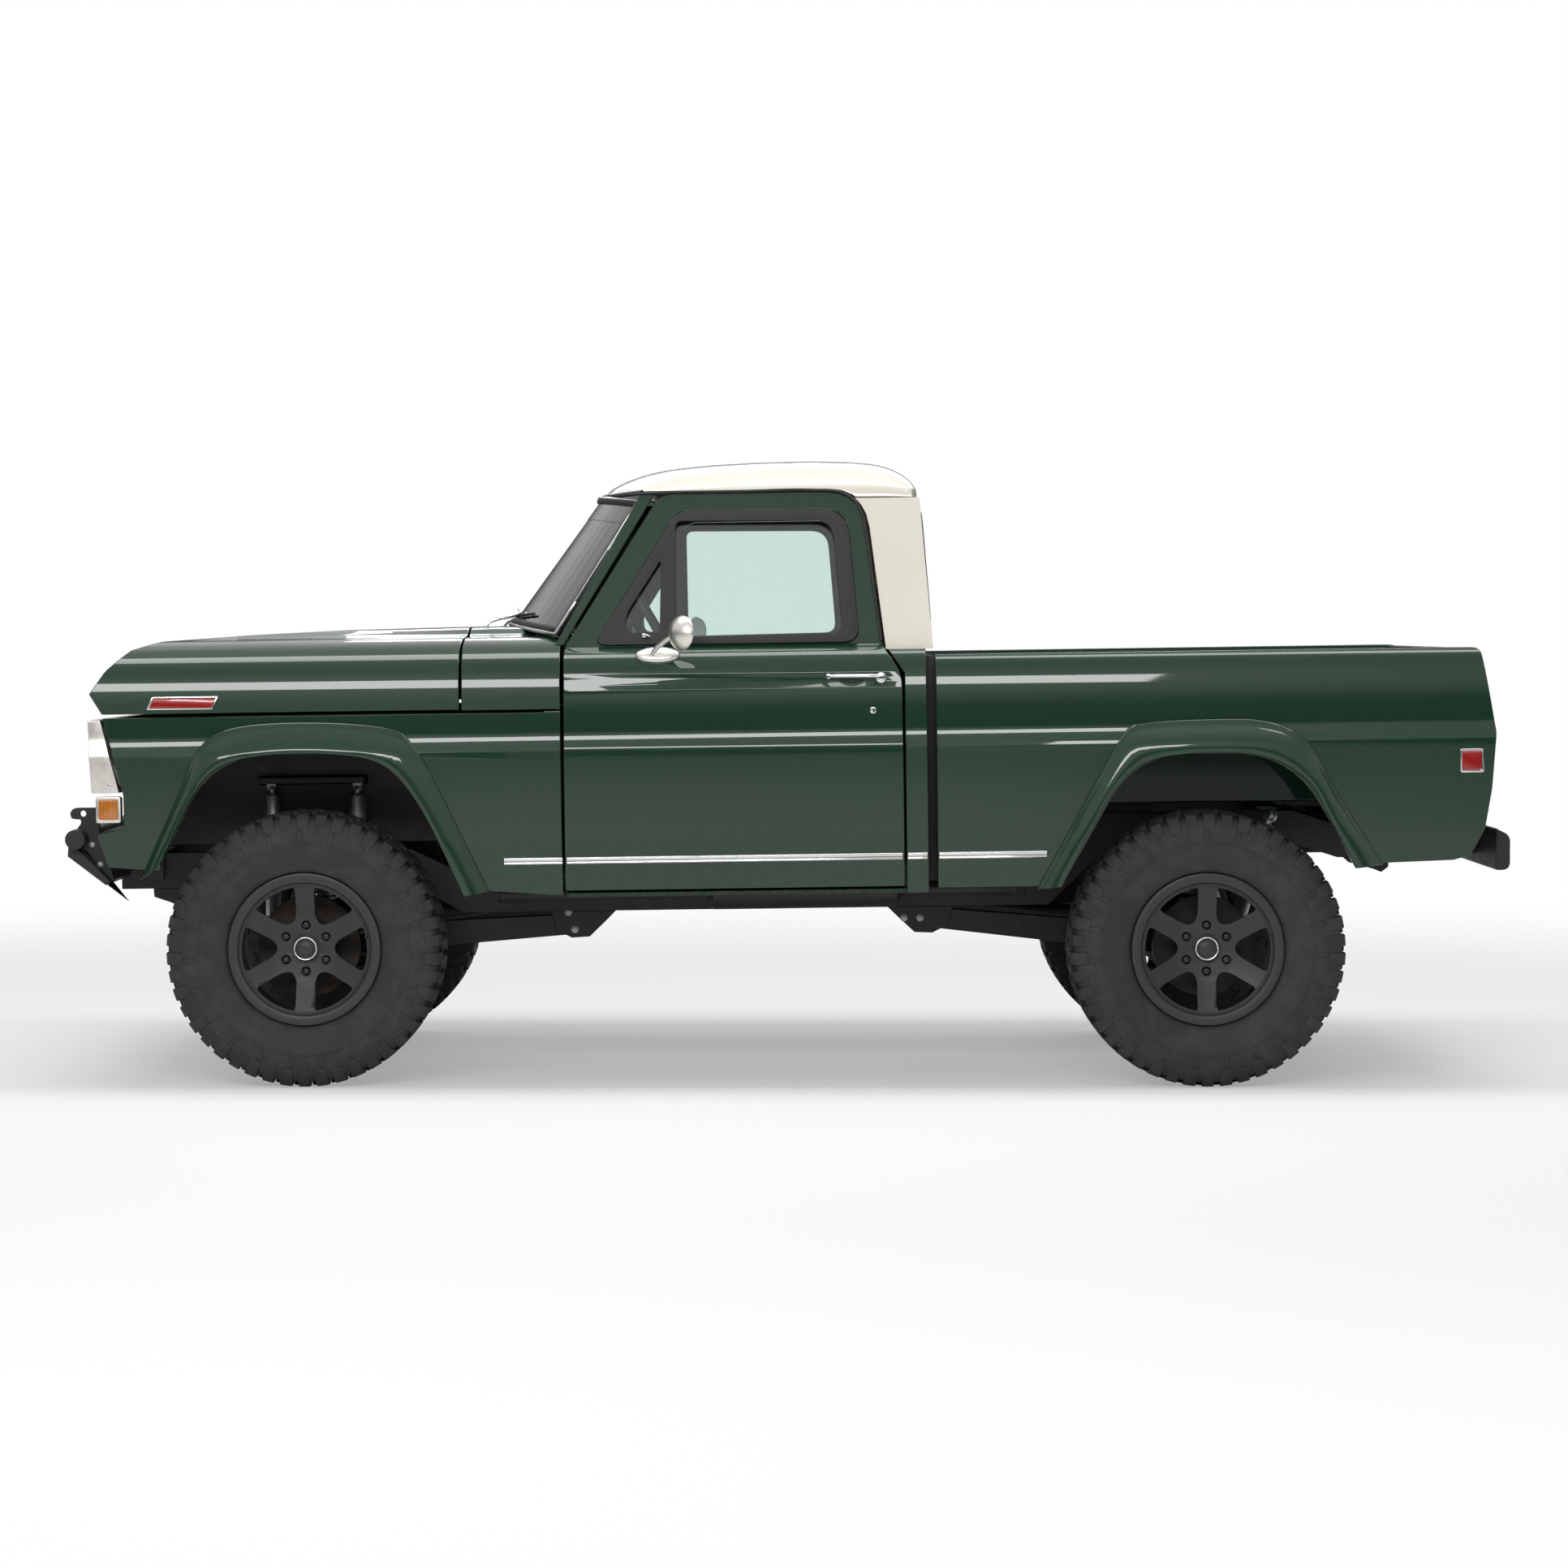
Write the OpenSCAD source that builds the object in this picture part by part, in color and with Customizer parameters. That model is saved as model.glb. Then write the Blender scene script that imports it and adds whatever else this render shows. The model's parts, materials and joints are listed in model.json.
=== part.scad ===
// Lifted off-road pickup: short bed, single cab, solid axles on long arms.
// Millimetres. +Z is up, the nose points to -X, the driver sits on the -Y side,
// and the origin is on the ground under the middle of the truck.
// Body pieces are drawn level and then tipped nose-down by the rake.

/* [Stance] */
// Nose-down rake of the body and frame, in degrees
rake = 0.8; // [0.6:0.1:1]
// Distance between the axles
wheelbase = 2921; // [2915:1:2927]
// Front axle line, forward of the origin
front_axle_x = -1565; // [-1568:1:-1562]

/* [Wheels] */
// Tyre radius
tyre_r = 446; // [438:1:450]
// Tyre width
tyre_w = 316; // [308:1:320]
// Middle of each tyre, out from the centreline
track_half = 830; // [828:1:834]
// Rim flange radius
rim_r = 247; // [245:1:248]
// Kingpin, out from the centreline
kingpin_y = 715; // [713:1:717]
// Kingpin to tie rod pin
steer_arm = 140; // [136:1:142]

/* [Panels] */
// Thickness of the window frame
frame_t = 40; // [36:1:42]
// Gap between panels
gap = 8; // [7:0.5:9]
// Thickness of single-skin panels
skin = 16; // [12:1:18]

/* [Hidden] */
$fn = 48;

rear_axle_x = front_axle_x + wheelbase;
hub_y = track_half - 30;
far = 3000;

// ---- Shared helpers ----

// Rounds each corner of an outline by cutting it back cuts[i] and bridging it with a curve.
function soft(pts, cuts, n = 5) = [
    for (i = [0:len(pts) - 1])
        let (b = pts[i], a = pts[(i + len(pts) - 1) % len(pts)], c = pts[(i + 1) % len(pts)],
             p = b + (a - b) / norm(a - b) * cuts[i], q = b + (c - b) / norm(c - b) * cuts[i])
        each (cuts[i] == 0 ? [b] :
              [for (k = [0:n]) let (t = k / n) (1 - t) * (1 - t) * p + 2 * t * (1 - t) * b + t * t * q])
];
// Fills in a smooth curve through the points of a line, with a crease kept at the listed points
function smooth(v, creases, n = 4) = [
    for (i = [0:len(v) - 2])
        let (a = v[i], b = v[i + 1], w = norm(b - a),
             da = i == 0 || search(i, creases) != [] ? b - a
                : (b - v[i - 1]) * w / (w + norm(a - v[i - 1])),
             db = i == len(v) - 2 || search(i + 1, creases) != [] ? b - a
                : (v[i + 2] - a) * w / (w + norm(v[i + 2] - b)))
        for (k = [0:n - 1]) let (t = k / n, u = 1 - t)
            u * u * (1 + 2 * t) * a + t * t * (3 - 2 * t) * b + t * u * u * da - t * t * u * db,
    v[len(v) - 1]
];
function reversed(v) = [for (i = [len(v) - 1:-1:0]) v[i]];
function shifted(v, d) = [for (p = v) p + d];
function flipped(v) = [for (p = v) [-p[0], p[1]]];
// A closed band between a line and the same line moved by d
function band(v, d) = concat(v, reversed(shifted(v, d)));
// A closed shape from a half section: the line, its mirror image, nothing else
function whole(v) = concat(v, reversed(flipped(v)));
// The same, carried straight down at the ends to height z
function down_to(v, z) = let (e = v[len(v) - 1])
    concat(v, [[e[0], z], [-e[0], z]], reversed(flipped(v)));

// Tips body pieces to the rake
module raked() { rotate([0, -rake, 0]) children(); }
module sides() { children(); mirror([0, 1, 0]) children(); }
module other_side() { mirror([0, 1, 0]) children(); }
// A (y, z) shape run along X, and an (x, z) shape run along Y
module along_x(x0, x1) { translate([x0, 0, 0]) rotate([90, 0, 90]) linear_extrude(x1 - x0) children(); }
module along_y(y0, y1) { translate([0, y1, 0]) rotate([90, 0, 0]) linear_extrude(y1 - y0) children(); }
module box(x, y, z) { translate([x[0], y[0], z[0]]) cube([x[1] - x[0], y[1] - y[0], z[1] - z[0]]); }
module rod_y(p, r, y0, y1) { translate([p[0], y0, p[1]]) rotate([-90, 0, 0]) cylinder(r = r, h = y1 - y0); }
// A round rod between two points
module rod(a, b, r) {
    d = b - a;
    translate(a) rotate([0, acos(d[2] / norm(d)), atan2(d[1], d[0])]) cylinder(r = r, h = norm(d));
}
// A curved sheet between a lower and an upper row of points, thickened by d.
// Both rows run towards +Y and d points towards +X.
module sheet(low, high, d) {
    n = len(low);
    quads = concat(
        [for (i = [0:n - 2]) each [[i, i + 1, n + i + 1, n + i],
            [3 * n + i, 3 * n + i + 1, 2 * n + i + 1, 2 * n + i],
            [2 * n + i, 2 * n + i + 1, i + 1, i], [n + i, n + i + 1, 3 * n + i + 1, 3 * n + i]]],
        [[0, n, 3 * n, 2 * n], [n - 1, 3 * n - 1, 4 * n - 1, 2 * n - 1]]);
    polyhedron(concat(low, high, shifted(low, d), shifted(high, d)),
        [for (q = quads) each [[q[0], q[1], q[2]], [q[0], q[2], q[3]]]], convexity = 4);
}

// ---- Section of the body side, right half, from the sill up to the window ----
side_steps = 4;
crease = 5;
lower_side = [
    [980, 600], [994, 720], [1003, 800], [1010, 950], [1014, 1060], [1016, 1099],
    [1002, 1150], [1001, 1190], [997, 1260], [988, 1320]
];
side_line = smooth(concat(lower_side, [[973, 1366], [948, 1402], [905, 1428]]), [crease], side_steps);
belt_z = 1428;
roof_side = [748, 1934];
// Greenhouse plane: from the belt up to the drip rail
glass_line = [[899, belt_z], roof_side];
// Section over the hood and cowl
hood_line = smooth([
    [0, 1503], [430, 1501], [520, 1494], [570, 1478], [640, 1470], [800, 1462],
    [890, 1440], [945, 1408], [973, 1370], [990, 1310], [999, 1234]
], []);
function inset_line(t) = [for (p = hood_line) [max(p[0] - t, 0), p[1] - t]];

split_z = 1230;
hood_rear_x = -1042;
cab_rear_x = 462;
bed_front_x = 492;

// ---- Side outlines, as [x, z] ----
door_edge = [[-709, 648], [384, 648], [384, 1335], [322, 1425], [262, 1926], [-392, 1926], [-705, 1430]];
door_cuts = [8, 8, 45, 25, 115, 40, 25];
door_shape = soft(door_edge, door_cuts);
door_inner = soft([[-697, 660], [370, 660], [370, 1330], [308, 1425], [248, 1912], [-384, 1912],
    [-688, 1430]], [8, 8, 45, 25, 110, 40, 25]);
window_shape = soft([[-612, 1436], [250, 1436], [216, 1870], [-336, 1870]], [45, 50, 85, 35]);
// What the wheel arches cut from the panels
front_arch = soft([[-2075, 560], [-2008, 749], [-1835, 1100], [-1250, 1100], [-1030, 636], [-1010, 560]],
    [0, 0, 190, 190, 0, 0], 8);
rear_arch = soft([[850, 560], [905, 668], [1130, 1062], [1625, 1062], [1838, 690], [1860, 560]],
    [0, 0, 170, 190, 0, 0], 8);
front_flare = soft([[-2082, 690], [-1905, 1200], [-1225, 1200], [-952, 634]], [0, 210, 220, 0], 8);
rear_flare = soft([[806, 634], [1108, 1170], [1660, 1170], [1926, 694]], [0, 190, 210, 0], 8);

// ---- Chassis ----

rail_top = [[-2225, 760], [-1250, 760], [-1100, 686], [850, 686], [1050, 850], [1700, 850], [1850, 800],
    [2225, 800]];
rail_low = [[2225, 690], [1850, 690], [1700, 740], [1090, 740], [880, 545], [-1080, 545], [-1250, 640],
    [-2225, 640]];
rail_in = 365;
rail_out = 435;
// Each crossmember as front, rear, bottom, top
crossmembers = [
    [-2225, -2150, 660, 740], [-1240, -1170, 600, 655], [-240, -170, 545, 575],
    [700, 780, 620, 680], [1660, 1720, 750, 830], [2165, 2225, 700, 790]
];
arm_in = 355;
arm_out = 415;
front_pivot = [-700, 505];
rear_pivot = [470, 510];

// Side plates round an arm's pivot; d is 1 where the long end points to the rear
module arm_bracket(p, d) {
    for (y = [[345, 353], [417, 425]])
        along_y(y[0], y[1]) polygon([for (q = [[-90, 545], [-70, 480], [-20, 455], [40, 458], [95, 510],
            [130, 545]]) [p[0] + d * q[0], q[1]]]);
}
// Spring seats and the hoops that carry the shock absorbers
module spring_tower(x, z) { box([x - 72, x + 72], [rail_out, 570], [z, z + 16]); }
module shock_hoop() {
    for (dx = [-165, 150])
        box([front_axle_x + dx - 20, front_axle_x + dx + 20], [rail_out, 462], [700, 1010]);
    box([front_axle_x - 185, front_axle_x + 170], [462, 560], [990, 1010]);
}
module frame_rails() color("dimgray") raked() sides() along_y(rail_in, rail_out)
    polygon(concat(rail_top, rail_low));
module frame_crossmembers() color("dimgray") raked() {
    for (m = crossmembers) box([m[0], m[1]], [-rail_in, rail_in], [m[2], m[3]]);
}
module frame_brackets() color("dimgray") raked() {
    sides() {
        arm_bracket(front_pivot, 1);
        arm_bracket(rear_pivot, -1);
        // Hangers under the rail ends
        along_y(420, 432) polygon([[-2120, 640], [-2118, 612], [-2060, 592], [-1985, 552], [-1972, 576],
            [-2030, 640]]);
        along_y(405, 430) polygon([[1870, 690], [2022, 690], [2022, 656], [1998, 638], [1968, 650],
            [1890, 672]]);
        spring_tower(front_axle_x + 6, 744);
        spring_tower(rear_axle_x + 6, 740);
    }
    // Steering box inside the left rail
    box([-1480, -1395], [-rail_in, -262], [640, 745]);
}
module shock_hoops() color("dimgray") raked() sides() shock_hoop();
module engine_block() color("gray") raked() box([-1840, -1160], [-250, 250], [670, 1150]);
module gearbox() color("gray") raked() {
    box([-1158, -560], [-135, 135], [600, 850]);
    box([-560, -420], [-110, 230], [560, 682]);
}
// Propeller shafts, each with a flange at both ends
module propeller_shafts() color("gray") {
    rod([-576, 180, 604], [-600, 180, 600], 42);
    rod([-600, 180, 600], [-1320, 180, 472], 32);
    rod([-1320, 180, 472], [-1354, 180, 464], 50);
    rod([-418, 0, 641], [-350, 0, 634], 40);
    rod([-350, 0, 634], [1110, 0, 482], 36);
    rod([1110, 0, 482], [1152, 0, 477], 52);
}
module pipe_x(x0, x1, r) { translate([x0, 550, 612]) rotate([0, 90, 0]) cylinder(r = r, h = x1 - x0); }
module exhaust() color("darkgray") raked() {
    pipe_x(-960, -249, 28);
    pipe_x(-250, 380, 60);
    pipe_x(379, 800, 28);
}
module fuel_tank() color("dimgray") raked() along_x(1760, 2120)
    polygon(soft([[-345, 700], [345, 700], [345, 845], [-345, 845]], [40, 40, 20, 20]));

// Axles sit level on the ground, so they are not raked.
module axle_tube(x, r, y1) { rod_y([x, tyre_r], r, -y1, y1); }
module front_axle() color("dimgray") {
    axle_tube(front_axle_x, 42, 640);
    difference() {
        union() {
            translate([front_axle_x, 180, tyre_r]) sphere(r = 125);
            rod([front_axle_x, 180, tyre_r], [front_axle_x + 196, 180, tyre_r + 14], 55);
        }
        box([-2000, front_axle_x - 118], [0, 400], [0, 900]);
    }
    sides() {
        // Yoke that holds the kingpin above and below
        box([front_axle_x - 36, front_axle_x + 36], [628, 658], [tyre_r - 120, tyre_r + 120]);
        for (z = [[tyre_r + 94, tyre_r + 120], [tyre_r - 120, tyre_r - 94]])
            translate([0, 0, z[0]]) linear_extrude(z[1] - z[0]) hull() {
                translate([front_axle_x, kingpin_y]) circle(r = 30, $fn = 32);
                translate([front_axle_x - 36, 640]) square([72, 10]);
            }
        box([front_axle_x - 70, front_axle_x + 70], [440, 560], [tyre_r + 38, tyre_r + 48]);
        box([front_axle_x - 170, front_axle_x + 155], [500, 540], [tyre_r - 22, tyre_r + 24]);
    }
}
module rear_axle() color("dimgray") {
    axle_tube(rear_axle_x, 45, 770);
    translate([rear_axle_x, 0, tyre_r]) sphere(r = 150);
    rod([rear_axle_x, 0, tyre_r], [rear_axle_x - 200, 0, tyre_r + 28], 58);
    sides() {
        rod_y([rear_axle_x, tyre_r], 165, 752, hub_y - 14);
        box([rear_axle_x - 70, rear_axle_x + 70], [440, 560], [tyre_r + 40, tyre_r + 50]);
        box([rear_axle_x + 20, rear_axle_x + 150], [570, 600], [tyre_r - 20, tyre_r + 8]);
    }
}
// Boxed arms from each axle to its bracket on the frame
module long_arm(ax, r, px, pz) {
    d = px > ax ? 1 : -1;
    difference() {
        along_y(arm_in, arm_out) polygon([[ax - d * 62, tyre_r - 30], [ax - d * 62, tyre_r + 37],
            [ax - d * 20, tyre_r + 37], [ax + d * 72, tyre_r + 37], [px, pz + 32], [px + d * 34, pz + 18],
            [px + d * 34, pz - 18], [px, pz - 36], [ax + d * 50, tyre_r - 60], [ax - d * 30, tyre_r - 60]]);
        rod_y([ax, tyre_r], r + 0.3, arm_in - 5, arm_out + 5);
    }
}
module suspension_arms() color("black") sides() {
    long_arm(front_axle_x, 42, front_pivot[0] - 10, front_pivot[1] - 12);
    long_arm(rear_axle_x, 45, rear_pivot[0], rear_pivot[1] + 6);
}
// The closed outer shape of each coil, from the axle seat up to its tower
module coil(x, z0, z1) { translate([x, 500, z0]) cylinder(r = 62, h = z1 - z0); }
module coil_springs() color("black") sides() {
    coil(front_axle_x, tyre_r + 49, 718);
    coil(rear_axle_x, tyre_r + 51, 756);
}
module shock(a, b) {
    rod(a, a + (b - a) * 0.55, 28);
    rod(a + (b - a) * 0.5, b, 14);
}
module shock_absorbers() color("silver") sides() {
    for (dx = [-150, 135])
        shock([front_axle_x + dx, 520, tyre_r + 25], [front_axle_x + dx - 4, 520, 966]);
    shock([rear_axle_x + 120, 585, tyre_r + 21], [rear_axle_x + 250, 520, 860]);
}

// ---- Cab ----

floor_z = [690, 716];
firewall_x = [-772, -742];
// Wall that follows the body side, starting in from the skin
module side_wall(x0, x1, z0, z1, in, t) intersection() {
    along_x(x0, x1) polygon(band(shifted(side_line, [-in, 0]), [-t, 0]));
    box([x0, x1], [0, far], [z0, z1]);
}
tunnel_end = -366;
module cab_floor() color("darkgreen") raked() {
    sides() {
        // Sill under the door and the post in front of it
        box([-709, 392], [850, 975], [626, 641]);
        box([-709, 392], [850, 899], [641, 690]);
        side_wall(firewall_x[0], -717, 716, split_z, skin + 1, 80);
    }
    difference() {
        union() {
            box([firewall_x[0], 432], [-900, 900], floor_z);
            box([firewall_x[0], tunnel_end], [-210, 210], [700, 890]);
            box(firewall_x, [-905, 905], [700, split_z]);
        }
        box([-900, tunnel_end - 20], [-190, 190], [600, 870]);
    }
}
// Rear wall and the corner posts behind the doors
module cab_rear() color("darkgreen") raked() {
    sides() intersection() {
        along_x(330, cab_rear_x) polygon(band(side_line, [-70, 0]));
        along_y(0, far) polygon([[392, 626], [cab_rear_x, 626], [cab_rear_x, 1412], [340, 1412],
            [392, 1336]]);
    }
    intersection() {
        along_x(432, cab_rear_x) polygon(whole(side_line));
        box([432, cab_rear_x], [-far, far], [floor_z[0], 1412]);
    }
}
module cowl() color("darkgreen") raked() {
    along_x(hood_rear_x + gap, -717) difference() {
        polygon(whole(hood_line));
        polygon(down_to(inset_line(24), 1100));
    }
    along_x(firewall_x[0], firewall_x[1]) polygon(whole(hood_line));
}
module windshield_posts() color("darkgreen") raked() sides() difference() {
    intersection() {
        along_y(600, 960) polygon([[-740, 1430], [-468, 1906], [-450, 1940], [-402, 1940], [-714, 1430]]);
        along_x(-800, -300) polygon([[855, 1436], [897, 1436], [747, 1934], [705, 1934]]);
    }
    along_x(-800, -300) polygon(down_to([for (p = hood_line) p + [0, 0.4]], 1100));
}
roof_line = [[0, 2051], [260, 2046], [460, 2032], [600, 2008], [680, 1976], [730, 1945], [772, 1937],
    [774, 1926], [752, 1924], [905, 1412]];
roof_inside = [[0, 2020], [260, 2015], [450, 2002], [570, 1980], [640, 1952], [690, 1924], [708, 1890],
    [852, 1380]];
roof_profile = [[488, 1412], [455, 1890], [451, 1920], [438, 1954], [414, 1984], [376, 2011], [310, 2034],
    [200, 2046], [0, 2051],
    [-310, 2044], [-479, 2021], [-578, 1966], [-604, 1936], [-604, 1300], [490, 1300]];
roof_hollow = [[448, 1380], [415, 1880], [404, 1930], [384, 1960], [350, 1984], [277, 2008], [0, 2021],
    [-310, 2014],
    [-440, 1995], [-530, 1950], [-540, 1925], [-540, 1300], [450, 1300]];
roof_plan = [[-604, 0], [-585, 300], [-530, 540], [-440, 760], [-430, far], [far, far]];
door_clear = soft([[-1500, 1100], [334, 1100], [334, 1425], [275, 1936], [-1500, 1936]],
    [0, 0, 0, 130, 0]);
rear_glass_edge = [[-600, 1500], [600, 1500], [560, 1850], [-560, 1850]];
rear_glass_cuts = [60, 60, 60, 60];
module cab_roof() color("ivory") raked() difference() {
    intersection() {
        along_x(-700, 600) polygon(whole(roof_line));
        along_y(-far, far) polygon(roof_profile);
        linear_extrude(far) polygon(concat(roof_plan, reversed([for (p = roof_plan) [p[0], -p[1]]])));
        box([-far, far], [-far, far], [1412, far]);
    }
    intersection() {
        along_x(-700, 600) polygon(whole(roof_inside));
        along_y(-far, far) polygon(roof_hollow);
    }
    along_y(-far, far) polygon(door_clear);
    along_x(400, 600) polygon(soft(rear_glass_edge, rear_glass_cuts));
}
// The windshield is ruled between a tight arc at the cowl and a flatter one at the roof.
function arc_x(y, half, sag) = let (r = (half * half + sag * sag) / (2 * sag)) r - sqrt(r * r - y * y);
function screen_point(t, z) = let (s = (z - 1440) / 520)
    (1 - s) * [arc_x(880 * t, 880, 245) - 975, 880 * t, 1440]
    + s * [arc_x(740 * t, 740, 200) - 590, 740 * t, 1960];
screen_low = [for (i = [-12:12]) let (t = i * 0.955 / 12) screen_point(t, 1514 - 38 * t * t)];
screen_high = [for (i = [-12:12]) let (t = i * 0.93 / 12) screen_point(t, 1929 - 32 * t * t)];
glass_t = 10;
module windshield() color([0.7, 0.85, 0.8, 0.4]) raked() sheet(screen_low, screen_high, [glass_t, 0, 0]);
module rear_window() color([0.7, 0.85, 0.8, 0.4]) raked() intersection() {
    along_y(-far, far) polygon([[462, 1400], [430, 1890], [436, 1890], [468, 1400]]);
    along_x(400, 600) polygon(soft(rear_glass_edge, rear_glass_cuts));
}
module bench_seat() color("saddlebrown") raked() {
    along_y(-700, 700) polygon(soft([[-360, 860], [180, 830], [200, 1080], [-340, 1120]],
        [40, 20, 60, 70]));
    along_y(-700, 700) polygon(soft([[150, 1084], [330, 1084], [400, 1405], [290, 1410]],
        [40, 20, 50, 50]));
    sides() box([-300, 150], [520, 560], [717, 850]);
}
wheel_c = [-389, -390, 1432];
column_tilt = 29;
module dashboard() color([0.12, 0.12, 0.12]) raked() difference() {
    along_y(-845, 845) polygon(soft([[-716, 1160], [-610, 1160], [-575, 1300], [-570, 1400],
        [-640, 1444], [-716, 1450]], [0, 20, 20, 40, 40, 0]));
    box([-720, -680], [-far, far], [1130, 1200]);
    column(column_r);
}
column_r = 26;
module column(r) {
    translate(wheel_c) rotate([0, 90 - column_tilt, 0]) translate([0, 0, -370]) cylinder(r = r, h = 330);
}
module steering_column() color([0.12, 0.12, 0.12]) raked() column(column_r);
module steering_wheel() color([0.1, 0.1, 0.1]) raked()
    translate(wheel_c) rotate([0, 90 - column_tilt, 0]) {
        rotate_extrude() translate([188, 0]) circle(r = 13);
        translate([0, 0, -30]) cylinder(r = 38, h = 36);
        for (a = [30, 150, 270]) rotate([0, 0, a]) translate([20, -14, -12]) cube([160, 28, 9]);
    }

// ---- Nose ----

fender_edge = [[-2188, 1224], [-717, 1224], [-717, 632], [-2176, 744], [-2212, 850], [-2124, 870],
    [-2124, 975]];
module fender_right() color("darkgreen") raked() difference() {
    intersection() {
        along_x(-2300, -700) polygon(band(side_line, [-skin, 0]));
        along_y(0, far) polygon(fender_edge);
    }
    along_y(0, far) polygon(front_arch);
}
module fender_left() { other_side() fender_right(); }
module inner_fenders() color("black") raked() {
    sides() {
        // Apron, cut out round the hoop that holds the shock absorbers
        difference() {
            along_y(470, 482) polygon([[-2090, 790], [-1090, 790], [-790, 900], [-790, 1220], [-2120, 1220]]);
            box([front_axle_x - 189, front_axle_x + 174], [460, 490], [986, 1014]);
        }
        box([-1180, -800], [484, 960], [1150, 1160]);
    }
    // Radiator support across the nose
    difference() {
        box([-2120, -2092], [-900, 900], [790, 1222]);
        box([-2200, -2000], [-420, 420], [860, 1180]);
        sides() box([-2200, -2000], [468, 484], [700, 1300]);
    }
    box([-2086, -2040], [-400, 400], [840, 1190]);
}
module front_valance() color("darkgreen") raked() difference() {
    along_y(-962, 962) polygon([[-2190, 862], [-2214, 848], [-2196, 838], [-2160, 752], [-2142, 752],
        [-2150, 862]]);
    // The frame horns pass through
    sides() box([-2400, -2000], [rail_in - 8, rail_out + 30], [600, 1000]);
}
lamp_y = 705;
lamp_z = 1100;
lamp_r = 92;
module grille() color("silver") raked() {
    difference() {
        along_y(-958, 958) polygon([[-2236, 1218], [-2200, 1218], [-2150, 984], [-2226, 984]]);
        box([-2300, -2100], [-520, 520], [1016, 1190]);
        sides() lamp_hole();
    }
    for (z = [1040:34:1176]) box([-2214, -2190], [-520, 520], [z, z + 12]);
    box([-2218, -2190], [-14, 14], [1010, 1194]);
    sides() {
        box([-2158, -2140], [520, 962], [984, 1200]);
        // The lamp surround wraps round onto the body side
        intersection() {
            along_x(-2300, -2100) polygon(band(side_line, [-60, 0]));
            along_y(0, far) polygon([[-2236, 1218], [-2196, 1218], [-2137, 984], [-2226, 984]]);
        }
    }
}
module lamp_hole() {
    translate([-2400, lamp_y, lamp_z]) rotate([0, 90, 0]) cylinder(r = lamp_r + 4, h = 238);
}
module front_lamps() color("white") raked() sides() {
    translate([-2222, lamp_y, lamp_z]) rotate([0, 90, 0]) cylinder(r = lamp_r, h = 54);
    intersection() {
        along_x(-2216, -2133) polygon(band(side_line, [-60, 0]));
        box([-2216, -2133], [900, far], [886, 972]);
    }
}
// The bumpers stand square to the ground.
front_shackle = [-2292, 881];
module front_bumper() color([0.08, 0.08, 0.08]) {
    rod_y([-2306, 800], 32, -940, 940);
    difference() {
        along_y(-900, 900) polygon([[-2334, 776], [-2300, 764], [-2200, 664], [-2212, 650], [-2336, 744]]);
        for (y = [-127, 127])
            translate([-2400, y, 740]) rotate([0, 90, 0]) cylinder(r = 5.5, h = 300);
        // Room for the frame between the rails
        box([-2244, -2100], [-rail_out - 2, rail_out + 2], [600, 760]);
    }
    sides() {
        // Plates from the frame rails to the tube
        along_y(rail_out + 2, rail_out + 22) polygon([[-2310, 780], [-2212, 650], [-2090, 640], [-2090, 735],
            [-2240, 770], [-2282, 820]]);
        // End plates with the towing eyes
        along_y(842, 860) difference() {
            polygon(soft([[-2336, 752], [-2210, 648], [-2190, 662], [-2215, 745], [-2238, 800], [-2238, 868],
                [-2246, 901], [-2322, 900], [-2335, 884], [-2330, 864], [-2300, 862], [-2298, 850],
                [-2336, 800]], [0, 0, 0, 0, 20, 0, 12, 12, 8, 8, 4, 6, 10]));
            translate(front_shackle) circle(r = 10);
        }
    }
}
hood_profile = [[hood_rear_x, split_z + 6], [hood_rear_x, 1503], [-1451, 1497], [-1759, 1485], [-2030, 1468],
    [-2110, 1440], [-2180, 1376], [-2231, 1302], [-2190, split_z + 6]];
module hood() color("darkgreen") raked() difference() {
    intersection() {
        along_x(-2300, hood_rear_x) polygon(whole(hood_line));
        along_y(-far, far) polygon(hood_profile);
    }
    intersection() {
        along_x(-2300, 0) polygon(down_to(inset_line(22), 1000));
        along_y(-far, far) polygon([[0, 1000], [0, 1481], [-1451, 1475], [-1759, 1463], [-2020, 1446],
            [-2090, 1424], [-2155, 1366], [-2198, 1302], [-2160, 1234], [-2160, 1000]]);
    }
}

// ---- Bed ----

bed_floor_z = [893, 913];
bed_in = 842;
rail_z = 1392;
tub_y = 628;
tub_shape = soft([[930, 893], [1000, 1040], [1120, 1130], [1620, 1130], [1740, 1040], [1800, 893]],
    [0, 60, 80, 80, 60, 0]);
tub_hollow = soft([[948, 800], [1018, 1030], [1128, 1118], [1612, 1118], [1722, 1030], [1784, 800]],
    [0, 60, 80, 80, 60, 0]);
module bed_floor() color("darkgreen") raked() {
    difference() {
        box([bed_front_x + 24, 2200], [-bed_in + 14, bed_in - 14], bed_floor_z);
        sides() along_y(tub_y, bed_in + 5) polygon(tub_shape);
    }
    for (x = [560, 860, 1900]) box([x, x + 60], [-bed_in, bed_in], [853, 893]);
}
module bed_walls() color("darkgreen") raked() {
    box([bed_front_x, bed_front_x + 24], [-bed_in, bed_in], [bed_floor_z[0], 1384]);
    sides() difference() {
        box([bed_front_x, 2200], [bed_in - 14, bed_in], [bed_floor_z[0], 1384]);
        along_y(tub_y, bed_in + 5) polygon(tub_shape);
    }
}
module wheel_housings() color("darkgreen") raked() sides() difference() {
    along_y(tub_y, bed_in) polygon(tub_shape);
    along_y(tub_y + 12, bed_in + 5) polygon(tub_hollow);
}
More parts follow.
